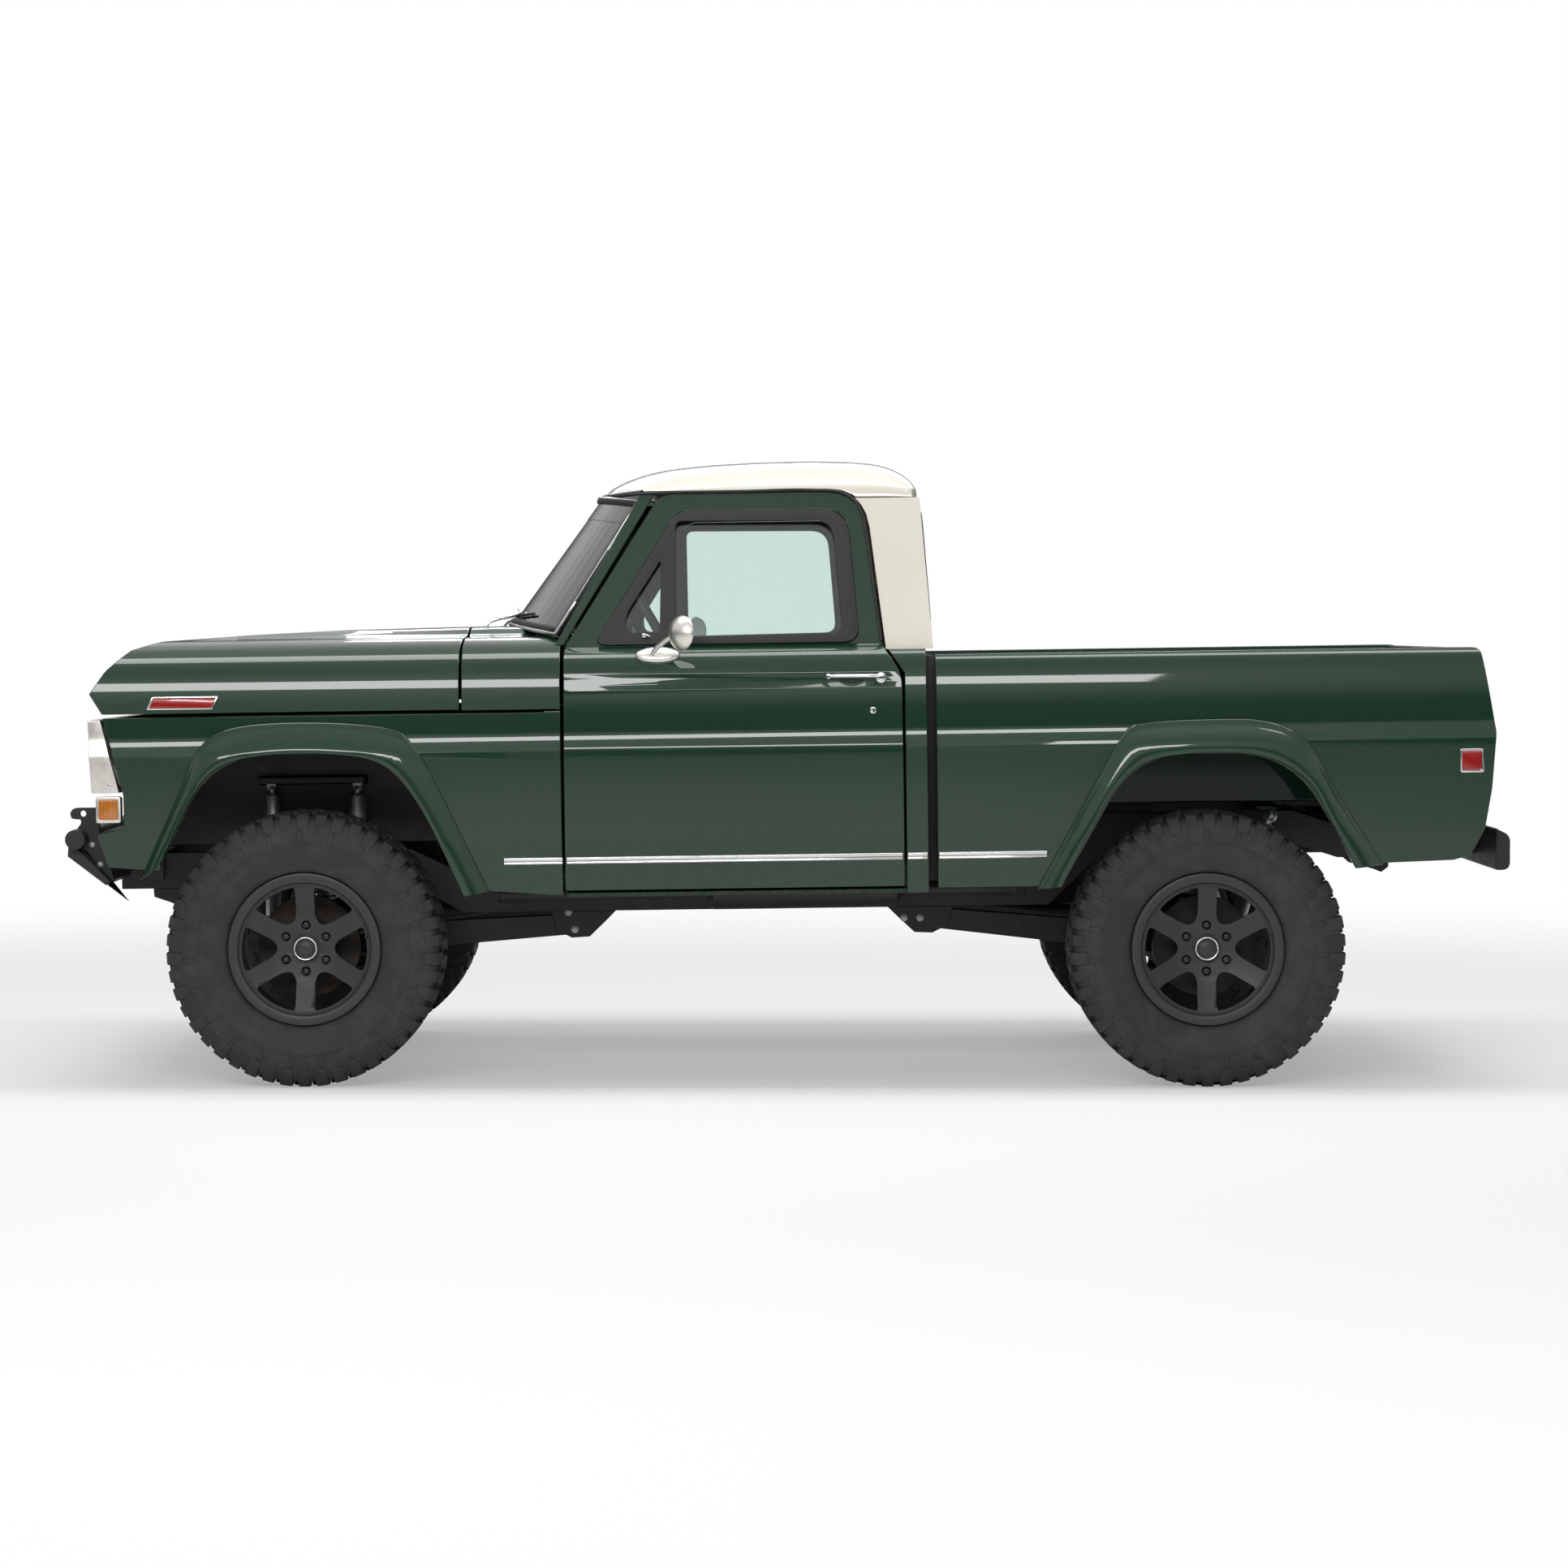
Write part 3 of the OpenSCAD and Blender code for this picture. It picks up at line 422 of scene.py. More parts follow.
# %% Materials for the construction nodes
finish_of = {
    frame_black: ["frame_rails", "frame_crossmembers", "frame_brackets", "shock_hoops", "fuel_tank",
                  "front_axle", "rear_axle", "suspension_arms", "inner_fenders", "propeller_shafts"],
    cast_iron: ["engine_block", "gearbox", "pitman_arm", "knuckle_left", "knuckle_right"],
    bare_steel: ["exhaust", "coil_springs", "shock_absorbers", "tie_rod"],
    green_paint: ["cab_rear", "cowl", "windshield_posts", "fender_left", "fender_right", "hood",
                  "front_valance", "bed_side_left", "bed_side_right", "tailgate", "fender_flares",
                  "door_left", "door_right", "wheel_housings"],
    green_inside_shaded: ["cab_floor", "bed_floor", "bed_walls"],
    cream_paint: ["cab_roof"],
    clear: ["windshield", "rear_window", "door_glass_left", "door_glass_right"],
    bumper_black: ["front_bumper", "rear_bumper"],
    lamp_metal: ["grille"],
    clear_lens: ["front_lamps"],
    red_lens: ["tail_lamps"],
    seat_vinyl: ["bench_seat"],
    dash_plastic: ["dashboard"],
    black_plastic: ["steering_wheel", "steering_column"],
    chrome: ["mirror_left", "mirror_right"],
    rubber: [n for n in nodes if n.startswith("tyre_")],
    alloy_black: [n for n in nodes if n.startswith("wheel_front") or n.startswith("wheel_rear")],
}
for material, names in finish_of.items():
    for name in names:
        nodes[name].data.materials.clear()
        nodes[name].data.materials.append(material)
print("finished:", sum(len(names) for names in finish_of.values()), "of", len(nodes), "nodes")

# %% [markdown]
# ## Modelling helpers
# Every new piece starts as a primitive, and is then shaped with the same tools that a hand would use.
# Four starts are used again and again, so each gets a small function:
# a *drawn* outline, made from one point that is extruded corner by corner; a *plate*, which is such an
# outline given a thickness; a *spun* ring, which is an outline turned round an axis; and a *sheet*,
# a flat grid whose points are each moved to their place by a rule.
# The body of the truck leans a little nose-down, so its pieces are made level and tipped at the end.

# %% Starting shapes
RAKE = Matrix.Rotation(math.radians(-0.8), 4, "Y")
AXES = {"X": (1, 2, 0), "Y": (0, 2, 1), "Z": (0, 1, 2)}


def mode(name):
    bpy.ops.object.mode_set(mode=name)


def named(name):
    piece = bpy.context.active_object
    piece.name = piece.data.name = name
    return piece


def start():
    """Nothing selected, object mode: every primitive is added from here."""
    if bpy.context.object and bpy.context.object.mode != "OBJECT":
        mode("OBJECT")
    bpy.ops.object.select_all(action="DESELECT")


def corner(across, flat, deep=0.0):
    """A point whose first two numbers lie in the plane square to an axis."""
    point = [0.0, 0.0, 0.0]
    first, second, third = AXES[across]
    point[first], point[second], point[third] = flat[0] * MM, flat[1] * MM, deep * MM
    return Vector(point)


def drawn(name, outline, across="Y", deep=0.0, closed=True):
    """An outline of [a, b] points in millimetres, square to the axis `across`."""
    start()
    points = [corner(across, p, deep) for p in outline]
    bpy.ops.mesh.primitive_plane_add(size=0.001, location=points[0])
    piece = named(name)
    bpy.ops.object.transform_apply(location=True, rotation=False, scale=False)
    mode("EDIT")
    bpy.ops.mesh.merge(type="CENTER")
    for before, after in zip(points, points[1:]):
        bpy.ops.mesh.extrude_vertices_move(TRANSFORM_OT_translate={"value": after - before})
    if closed:
        bpy.ops.mesh.select_all(action="SELECT")
        bpy.ops.mesh.edge_face_add()
    mode("OBJECT")
    return piece


def outwards(piece):
    select_only(piece)
    mode("EDIT")
    bpy.ops.mesh.select_all(action="SELECT")
    bpy.ops.mesh.remove_doubles(threshold=0.00002)
    bpy.ops.mesh.normals_make_consistent(inside=False)
    mode("OBJECT")
    return piece


def plate(name, outline, low, high, across="Y"):
    """A solid of that outline between two depths, in millimetres."""
    piece = drawn(name, outline, across, low)
    mode("EDIT")
    bpy.ops.mesh.select_all(action="SELECT")
    move = corner(across, (0, 0), high - low)
    bpy.ops.mesh.extrude_region_move(TRANSFORM_OT_translate={"value": move})
    mode("OBJECT")
    return outwards(piece)


def spun(name, profile, across="Y", centre=(0, 0), steps=72, closed=True, turn=360):
    """A ring: a profile of [radius, depth] points turned round the axis `across`."""
    first, second, third = AXES[across]
    start()
    points = []
    for radius, depth in profile:
        point = [0.0, 0.0, 0.0]
        point[first] = (centre[0] + radius) * MM
        point[second], point[third] = centre[1] * MM, depth * MM
        points.append(Vector(point))
    bpy.ops.mesh.primitive_plane_add(size=0.001, location=points[0])
    piece = named(name)
    bpy.ops.object.transform_apply(location=True, rotation=False, scale=False)
    mode("EDIT")
    bpy.ops.mesh.merge(type="CENTER")
    for before, after in zip(points, points[1:] + (points[:1] if closed else [])):
        bpy.ops.mesh.extrude_vertices_move(TRANSFORM_OT_translate={"value": after - before})
    bpy.ops.mesh.select_all(action="SELECT")
    axis = [0, 0, 0]
    axis[third] = 1
    bpy.ops.mesh.spin(steps=steps, angle=math.radians(turn), center=corner(across, centre), axis=axis)
    mode("OBJECT")
    return outwards(piece)


def sheet(name, rows):
    """A grid of points: rows is a list of equally long lists of (x, y, z) in millimetres."""
    start()
    long, wide = len(rows) - 1, len(rows[0]) - 1
    bpy.ops.mesh.primitive_grid_add(x_subdivisions=long, y_subdivisions=wide, size=1)
    piece = named(name)
    for v in piece.data.vertices:
        i, j = round((v.co.x + 0.5) * long), round((v.co.y + 0.5) * wide)
        v.co = Vector(rows[i][j]) * MM
    return piece


def cylinder(name, low, high, radius, sides=32, tip=None):
    """A round bar between two points, in millimetres; tip is the radius at its far end."""
    start()
    low, high = Vector(low) * MM, Vector(high) * MM
    turn = (high - low).to_track_quat("Z", "Y").to_euler()
    far = radius if tip is None else tip
    bpy.ops.mesh.primitive_cone_add(vertices=sides, radius1=radius * MM, radius2=far * MM,
                                    depth=(high - low).length, location=(low + high) / 2, rotation=turn)
    piece = named(name)
    bpy.ops.object.transform_apply(location=True, rotation=True, scale=True)
    return piece


def tube(name, path, radius, sides=12, closed=False, smooth=True):
    """A round tube along a path of points in millimetres."""
    start()
    data = bpy.data.curves.new(name, "CURVE")
    data.dimensions = "3D"
    data.bevel_depth = radius * MM
    data.bevel_resolution = max(1, sides // 4 - 1)
    data.use_fill_caps = not closed
    line = data.splines.new("BEZIER" if smooth else "POLY")
    places = line.bezier_points if smooth else line.points
    places.add(len(path) - 1)
    for at, p in zip(places, path):
        if smooth:
            at.co = Vector(p) * MM
            at.handle_left_type = at.handle_right_type = "AUTO"
        else:
            at.co = (*(Vector(p) * MM), 1)
    line.use_cyclic_u = closed
    data.resolution_u = 4
    curve = bpy.data.objects.new(name, data)
    bpy.context.scene.collection.objects.link(curve)
    select_only(curve)
    bpy.ops.object.convert(target="MESH")
    piece = named(name)
    bpy.ops.object.shade_smooth()
    return piece


# %% Finishing moves
def applied(piece, kind, **settings):
    """Adds a modifier and applies it."""
    select_only(piece)
    modifier = piece.modifiers.new(kind, kind)
    for key, value in settings.items():
        setattr(modifier, key, value)
    bpy.ops.object.modifier_apply(modifier=modifier.name)
    return piece


def eased(piece, width=2.0, segments=2, angle=30, smooth=35):
    """Rounds the sharp edges and smooths the shading of the rest."""
    applied(piece, "BEVEL", width=width * MM, segments=segments, limit_method="ANGLE",
            angle_limit=math.radians(angle), use_clamp_overlap=True)
    select_only(piece)
    bpy.ops.object.shade_smooth_by_angle(angle=math.radians(smooth))
    return piece


def cut(piece, *tools):
    """Takes the tools' shapes out of the piece and deletes the tools."""
    for tool in tools:
        applied(piece, "BOOLEAN", operation="DIFFERENCE", object=tool, solver="EXACT")
        bpy.data.objects.remove(tool)
    return piece


def joined(name, pieces):
    start()
    for piece in pieces:
        piece.select_set(True)
    bpy.context.view_layer.objects.active = pieces[0]
    bpy.ops.object.join()
    return named(name)


def copied(piece, name, matrix=None):
    twin = piece.copy()
    twin.data = piece.data.copy()
    twin.name = twin.data.name = name
    bpy.context.scene.collection.objects.link(twin)
    if matrix:
        twin.data.transform(matrix)
        if matrix.determinant() < 0:
            twin.data.flip_normals()
    return twin


def tipped(piece):
    piece.data.transform(RAKE)
    return piece


OTHER_SIDE = Matrix.Scale(-1, 4, (0, 1, 0))


def placed(piece, material, body, slot, *stands_for):
    """Gives a finished piece its material and hangs it on its body."""
    piece.data.materials.clear()
    piece.data.materials.append(material)
    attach(piece, body)
    if stands_for:
        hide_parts(*stands_for)
    return piece


def both_sides(piece, material, body, slot, *stands_for):
    """The piece as drawn on the left (-Y) and its mirror image on the right."""
    name = piece.name
    piece.name = piece.data.name = name + "_left"
    twin = copied(piece, name + "_right", OTHER_SIDE)
    placed(piece, material, body.replace("SIDE", "left"), slot,
           *[n.replace("SIDE", "left") for n in stands_for])
    placed(twin, material, body.replace("SIDE", "right"), slot,
           *[n.replace("SIDE", "right") for n in stands_for if "SIDE" in n])
    return piece, twin


print("modelling helpers ready")

# %% [markdown]
# ## Tyres
# A mud tyre is a smooth carcass with separate rubber blocks on it. The carcass is one profile spun
# round the axle. The blocks repeat round the tyre, so only one pitch of them is modelled: two
# shoulder lugs, which reach down over the edge, two middle blocks and two side biters. Alternate
# lugs sit a little further in, which is why the pitch holds a long and a short one.

# %% Tyre
WHEELS = {"front_left": (-1.565, -1), "front_right": (-1.565, 1), "rear_left": (1.356, -1),
          "rear_right": (1.356, 1)}
AXLE_UP, TRACK = 0.446, 0.830
TREAD_R = 446
PITCHES = 23


def ring_of(block, count):
    """Repeats a block round the Y axis."""
    select_only(block)
    mode("EDIT")
    bpy.ops.mesh.select_all(action="SELECT")
    turn = 2 * math.pi * (count - 1) / count
    bpy.ops.mesh.spin(steps=count - 1, dupli=True, angle=turn, center=(0, 0, 0), axis=(0, 1, 0))
    mode("OBJECT")
    return block


def turned(piece, degrees):
    piece.data.transform(Matrix.Rotation(math.radians(degrees), 4, "Y"))
    return piece


side = [(232, 104), (247, 106), (252, 122), (258, 130), (266, 134), (290, 143), (318, 151), (336, 155),
        (338, 157), (344, 157), (346, 155), (366, 156), (388, 153), (408, 147), (423, 138), (431, 124)]
tyre_profile = [(r, -d) for r, d in side] + [(433, -80), (433, 80)] + [(r, d) for r, d in reversed(side)]
carcass = spun("carcass", tyre_profile, steps=92)

# A lug's cross-section as [depth along the axle, radius], thickened round the tyre
long_lug = [(-70, 428), (-70, 446), (-121, 445), (-137, 438), (-149, 416), (-156, 392), (-150, 388),
            (-128, 424)]
short_lug = [(-78, 428), (-78, 446), (-117, 445), (-132, 437), (-144, 416), (-152, 400), (-146, 396),
             (-124, 424)]
biter_low = [(-150, 388), (-158, 384), (-158, 352), (-153, 350), (-150, 360)]
biter_high = [(-148, 396), (-154.5, 394), (-157.5, 366), (-153, 364), (-150, 372)]
middle = [(-24, 5), (2, 3), (16, 18), (8, 32), (23, 52), (16, 66), (-13, 66), (-8, 44), (-25, 26)]


def tread_side(flip):
    """One side's blocks of a pitch; the other side is turned half a pitch."""
    step = 360 / PITCHES / 2
    parts = []
    for i, (shape, half) in enumerate([(long_lug, 20), (short_lug, 19)]):
        parts.append(turned(plate("lug", shape, -half, half, "X"), i * step))
    for i, (shape, half, lead) in enumerate([(biter_low, 9, -9), (biter_high, 8, -8)]):
        parts.append(turned(plate("biter", shape, lead - half, lead + half, "X"), i * step))
    for i in range(2):
        block = plate("middle", [(a, -b) for a, b in middle], TREAD_R - 16, TREAD_R, "Z")
        parts.append(turned(block, i * step + 2.5))
    for part in parts:
        applied(part, "BEVEL", width=0.0022, segments=1, limit_method="ANGLE", angle_limit=0.6)
    half = joined("pitch", parts)
    if flip:
        half.data.transform(Matrix.Rotation(math.pi, 4, "Z"))
        turned(half, step * 0.5)
    return half


tread = ring_of(joined("tread", [tread_side(False), tread_side(True)]), PITCHES)
tyre = joined("tyre", [carcass, tread])
select_only(tyre)
bpy.ops.object.shade_smooth_by_angle(angle=math.radians(32))
print("tyre:", len(tyre.data.polygons), "faces")

# %% [markdown]
# ## Wheels
# The wheel is cast in one piece. Its barrel and dished face are one profile spun round the axle, and
# the six spokes are what is left when six rounded pockets are cut through the face. The nuts sit in
# round recesses in line with the spokes. The middle carries a plain domed cap inside a bright ring.

# %% Wheel
def bow(a, b, c, count=8):
    """A curve from a to c that is drawn towards b."""
    mix = [i / count for i in range(count + 1)]
    return [tuple((1 - t) ** 2 * p + 2 * t * (1 - t) * q + t * t * r for p, q, r in zip(a, b, c))
            for t in mix]


rim = spun("rim", [(222, 122), (247, 122), (247, 108), (232, 107), (231, -107), (247, -108), (247, -121),
                   (240, -122.5), (226, -121.5), (217, -119.5), (215, -116), (212.5, -113), (209, -113),
                   (208, -118), (203, -117), (201, -106), (208, -100), (213, -60), (218, 60), (222, 108)])
eased(rim, 1.2, 2, 25)
face = spun("face", [(30, 40), (30, -62), (40, -64), (46, -66), (92, -66), (110, -72), (150, -90),
                     (190, -108), (206, -114), (209, -112), (209, -92), (190, -84), (150, -66), (110, -48),
                     (92, -40), (92, 20), (60, 40)])
SPOKES = 6
HALF_SPOKE = 30


def beside_spoke(reach, side):
    """A point on a spoke's edge, seen from the middle of the pocket next to it."""
    a = math.radians(30)
    return (reach * math.cos(a) + HALF_SPOKE * math.sin(a),
            side * (reach * math.sin(a) - HALF_SPOKE * math.cos(a)))


def pocket(turn):
    rim_end = [(203 * math.cos(math.radians(a)), 203 * math.sin(math.radians(a))) for a in range(-18, 19, 4)]
    low = bow(beside_spoke(185, -1), beside_spoke(200, -1), rim_end[0], 4)
    high = bow(rim_end[-1], beside_spoke(200, 1), beside_spoke(185, 1), 4)
    apex = bow(beside_spoke(120, 1), (66, 0), beside_spoke(120, -1), 10)
    shape = low[:-1] + rim_end + high[1:] + apex
    c, s = math.cos(math.radians(turn)), math.sin(math.radians(turn))
    return plate("pocket", [(a * c - b * s, a * s + b * c) for a, b in shape], -140, 60)


def at_hub(radius, turn):
    a = math.radians(turn)
    return radius * math.cos(a), radius * math.sin(a)


cut(face, *[pocket(60 * i) for i in range(SPOKES)])
holes = []
for i in range(SPOKES):
    x, z = at_hub(75, 30 + 60 * i)
    holes.append(cylinder("recess", (x, -90, z), (x, -46, z), 15.5, 24))
cut(face, *holes)
eased(face, 2.2, 2, 28)
nuts = []
for i in range(SPOKES):
    x, z = at_hub(75, 30 + 60 * i)
    nut = cylinder("nut", (x, -46, z), (x, -69, z), 10.5, 6)
    nuts.append(eased(nut, 1.6, 2, 20))
    nuts.append(eased(cylinder("seat", (x, -44, z), (x, -50, z), 13.5, 20, 12), 0.8, 1, 20))
cap = spun("cap", [(0.01, -92), (10, -91.5), (20, -89.5), (27, -86), (29, -83), (33, -82), (34, -70),
                   (44, -68), (44, -60), (0.01, -60)], steps=40)
bright = spun("bright_ring", [(32, -80), (33, -88), (36, -90), (38.5, -88), (40, -78), (40, -66), (32, -66)],
              steps=48)
for piece in (cap, bright):
    eased(piece, 0.6, 1, 30, 45)
valve = cylinder("valve", (204, -108, 40), (199, -128, 40), 4, 12, 3)
wheel = joined("wheel", [rim, face, cap, valve])
hardware = joined("nuts", nuts)
print("wheel:", len(wheel.data.polygons), "faces")

# %% Four of each
for corner_name, (x, s) in WHEELS.items():
    turn = Matrix.Rotation(0 if s < 0 else math.pi, 4, "Z")
    there = Matrix.Translation((x, s * TRACK, AXLE_UP)) @ turn
    body = "wheel_" + corner_name
    placed(copied(tyre, "mud_tyre_" + corner_name, there), rubber, body, "rubber", "tyre_" + corner_name)
    placed(copied(wheel, "alloy_" + corner_name, there), alloy_black, body, "black_alloy",
           "wheel_" + corner_name)
    placed(copied(hardware, "lug_nuts_" + corner_name, there), frame_black, body, "steel")
    placed(copied(bright, "cap_ring_" + corner_name, there), chrome, body, "chrome")
for piece in (tyre, wheel, hardware, bright):
    bpy.data.objects.remove(piece)
print("tyres, wheels, nuts and cap rings on", len(WHEELS), "corners")

# %% [markdown]
# ## Body panels
# The construction panels already have the right shape, but their edges are knife sharp. Pressed
# steel never is: its edges are folded over a small radius, and that radius catches a thin line of
# light. So each panel is copied, its loose triangles are merged back into whole faces, and its edges
# are rounded. The long pressed crease along the side stays crisp, so it is marked sharp.

# %% Panels with folded edges
def whole_faces(piece, angle=0.6):
    select_only(piece)
    mode("EDIT")
    bpy.ops.mesh.select_all(action="SELECT")
    bpy.ops.mesh.remove_doubles(threshold=0.00005)
    bpy.ops.mesh.dissolve_limited(angle_limit=math.radians(angle))
    mode("OBJECT")
    return piece


def keep_creases(piece, low=9):
    """Marks the long creases that run along the truck as sharp."""
    select_only(piece)
    mode("EDIT")
    bpy.ops.mesh.select_mode(type="EDGE")
    bpy.ops.mesh.select_all(action="DESELECT")
    bpy.ops.mesh.edges_select_sharp(sharpness=math.radians(low))
    mode("OBJECT")
    for edge in piece.data.edges:
        a, b = (piece.data.vertices[i].co for i in edge.vertices)
        along = (b - a).normalized()
        edge.select = edge.select and abs(along.x) > 0.999 and (b - a).length > 0.05
    mode("EDIT")
    bpy.ops.mesh.mark_sharp()
    bpy.ops.mesh.select_mode(type="VERT")
    mode("OBJECT")


def panel(node, material, slot, width=2.5, segments=2, creases=True):
    source = nodes[node]
    piece = bpy.data.objects.new(node + "_panel", source.data.copy())
    bpy.context.scene.collection.objects.link(piece)
    whole_faces(piece)
    if creases:
        keep_creases(piece)
    applied(piece, "BEVEL", width=width * MM, segments=segments, limit_method="ANGLE",
            angle_limit=math.radians(32), use_clamp_overlap=False)
    select_only(piece)
    bpy.ops.object.shade_smooth_by_angle(angle=math.radians(35), keep_sharp_edges=True)
    applied(piece, "WEIGHTED_NORMAL", keep_sharp=True)
    return placed(piece, material, source["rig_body"], slot, node)


for node in ("fender_left", "fender_right", "door_left", "door_right", "cowl", "windshield_posts",
             "cab_rear", "bed_side_left", "bed_side_right", "tailgate", "front_valance", "hood"):
    panel(node, green_paint, "green_paint")

# The nose of the hood is rolled, so its cross folds get a wide radius
nose = bpy.data.objects["hood_panel"]
nose.data.transform(RAKE.inverted())
select_only(nose)
mode("EDIT")
bpy.ops.mesh.select_mode(type="EDGE")
bpy.ops.mesh.select_all(action="DESELECT")
mode("OBJECT")
FOLDS = [(-2030, 1468), (-2110, 1440), (-2180, 1376)]
for edge in nose.data.edges:
    a, b = (nose.data.vertices[i].co for i in edge.vertices)
    on_fold = any(math.dist(((a.x + b.x) / 2 / MM, (a.z + b.z) / 2 / MM), fold) < 1 for fold in FOLDS)
    edge.select = on_fold and abs(a.y - b.y) > 0.1 and math.dist((a.x, a.z), (b.x, b.z)) < 0.001
folds = sum(edge.select for edge in nose.data.edges)
mode("EDIT")
bpy.ops.mesh.bevel(offset=0.026, segments=4, affect="EDGES")
bpy.ops.mesh.select_mode(type="VERT")
mode("OBJECT")
bpy.ops.object.shade_smooth_by_angle(angle=math.radians(35), keep_sharp_edges=True)
nose.data.transform(RAKE)
print("hood folds rolled:", folds)
for node in ("cab_floor", "bed_floor", "bed_walls", "wheel_housings"):
    panel(node, green_inside_shaded, "green_paint", 2.0, 1, False)
for node in ("frame_rails", "frame_crossmembers", "frame_brackets", "shock_hoops", "inner_fenders",
             "fuel_tank", "suspension_arms"):
    panel(node, frame_black, "black_steel", 2.5, 2, False)
panel("rear_bumper", bumper_black, "black_steel", 3.0, 2, False)
panel("front_bumper", bumper_black, "black_steel", 2.0, 2, False)

# %% [markdown]
# ## Outlines of the body
# The trims follow the body, so they need its outline again: how far out the side is at each height,
# the lean of the window plane, and the curve of the windshield. Corners are drawn as sharp points
# and then cut back and rounded, which is how a panel beater marks out a corner.

# %% Where the skin is
SIDE = [(980, 600), (994, 720), (1003, 800), (1010, 950), (1014, 1060), (1016, 1099), (1002, 1150),
        (1001, 1190), (997, 1260), (988, 1320), (973, 1366), (948, 1402), (905, 1428)]


def side_y(z):
    """How far out the body side is at a height, in millimetres."""
    for (y0, z0), (y1, z1) in zip(SIDE, SIDE[1:]):
        if z <= z1:
            return y0 + (y1 - y0) * (z - z0) / (z1 - z0)
    return 899 - (z - 1428) * 0.2984


def soft(points, cuts, count=5):
    """The outline with each corner cut back and bridged with a curve."""
    out = []
    for i, b in enumerate(points):
        a, c = points[i - 1], points[(i + 1) % len(points)]
        if cuts[i] == 0:
            out.append(tuple(b))
            continue
        ab, cb = math.dist(a, b), math.dist(c, b)
        p = [b[k] + (a[k] - b[k]) / ab * cuts[i] for k in (0, 1)]
        q = [b[k] + (c[k] - b[k]) / cb * cuts[i] for k in (0, 1)]
        out += bow(p, b, q, count)
    return out


def leaned(piece, out=0.0):
    """Moves a flat left-hand piece onto the leaning window plane, `out` millimetres proud of it."""
    for v in piece.data.vertices:
        v.co.y -= (899 - (v.co.z / MM - 1428) * 0.2984 + out) * MM
    return piece


def hugging(piece, out=0.0):
    """Moves a flat left-hand piece onto the curved body side."""
    for v in piece.data.vertices:
        v.co.y -= (side_y(v.co.z / MM) + out) * MM
    return piece


def arc_x(y, half, sag):
    radius = (half * half + sag * sag) / (2 * sag)
    return radius - math.sqrt(radius * radius - y * y)


def screen(t, z, out=0.0):
    """A point of the windshield: t runs -1..1 across it, out is how far in front of it."""
    s = (z - 1440) / 520
    low = (arc_x(880 * t, 880, 245) - 975, 880 * t)
    high = (arc_x(740 * t, 740, 200) - 590, 740 * t)
    return ((1 - s) * low[0] + s * high[0] - out, (1 - s) * low[1] + s * high[1], z)


print("side at the belt:", side_y(1428), "mm out")

# %% [markdown]
# ## Roof
# The roof is pressed from one sheet. It is a low dome: almost flat in the middle, and rolling over
# ever faster towards the gutter. A grid of points gives that directly. Its height is the long
# profile of the cab times a rounded section across it, and its front edge bows forward over the glass.
# Below it the rear quarters stay flat, and a fine seam shows where the two pressings meet.

# %% Roof skin
ROOF_LINE = [(0.0, 0), (0.02, 27), (0.06, 50), (0.12, 74), (0.2, 93), (0.33, 107), (0.5, 115), (0.66, 117),
             (0.8, 112), (0.88, 102), (0.93, 84), (0.965, 60), (0.985, 36), (1.0, 0)]
GUTTER_Z, GUTTER_Y, QUARTER_Z = 1934, 750, 1906


def roof_height(u):
    for (u0, h0), (u1, h1) in zip(ROOF_LINE, ROOF_LINE[1:]):
        if u <= u1:
            t = (u - u0) / (u1 - u0)
            return h0 + (h1 - h0) * t
    return 0


def roof_point(i, j, long, wide):
    v = math.sin(math.pi / 2 * (2 * j / wide - 1))
    u = (1 - math.cos(math.pi * i / long)) / 2
    y = v * GUTTER_Y
    front = -606 + 168 * (y / 760) ** 2
    rear = 452 - 24 * abs(v) ** 8
    round_over = max(0.0, 1 - abs(v) ** 2.2) ** 0.47
    return front + (rear - front) * u, y, GUTTER_Z + roof_height(u) * round_over


roof = sheet("roof_skin", [[roof_point(i, j, 40, 32) for j in range(33)] for i in range(41)])
mode("EDIT")
bpy.ops.mesh.select_all(action="SELECT")
bpy.ops.mesh.vertices_smooth(factor=0.5, repeat=2)
bpy.ops.mesh.select_all(action="DESELECT")
bpy.ops.mesh.select_non_manifold()
bpy.ops.mesh.extrude_edges_move(TRANSFORM_OT_translate={"value": (0, 0, (QUARTER_Z - GUTTER_Z) * MM)})
mode("OBJECT")
for v in roof.data.vertices:
    if v.co.z < (GUTTER_Z - 10) * MM:
        v.co.y += math.copysign(8 * MM, v.co.y) if abs(v.co.y) > 0.6 else 0
        v.co.x += 3 * MM if v.co.x > 0.4 else 0
outwards(roof)
applied(roof, "SOLIDIFY", thickness=0.022, offset=-1)
door_hole = soft([(-1500, 1500), (334, 1500), (275, 1937), (-1500, 1937)], [0, 0, 120, 0])
cut(roof, plate("door_hole", door_hole, -1100, 1100))
eased(roof, 2.5, 2, 40, 40)
tipped(roof)
placed(roof, cream_paint, "chassis", "cream_paint", "cab_roof")

quarters = bpy.data.objects.new("roof_quarters", nodes["cab_roof"].data.copy())
bpy.context.scene.collection.objects.link(quarters)
quarters.data.transform(RAKE.inverted())
whole_faces(quarters)
mode("EDIT")
bpy.ops.mesh.select_all(action="SELECT")
bpy.ops.mesh.bisect(plane_co=(0, 0, (QUARTER_Z - 1.5) * MM), plane_no=(0, 0, 1), clear_outer=True,
                    use_fill=True)
mode("OBJECT")
eased(quarters, 5.0, 3, 40)
applied(quarters, "WEIGHTED_NORMAL")
tipped(quarters)
placed(quarters, cream_paint, "chassis", "cream_paint")
print("roof:", len(roof.data.polygons), "faces")

# %% [markdown]
# ## Gutter and door seal
# A black rubber seal follows the door's top edge, and the gutter lip above the glass sheds the rain.

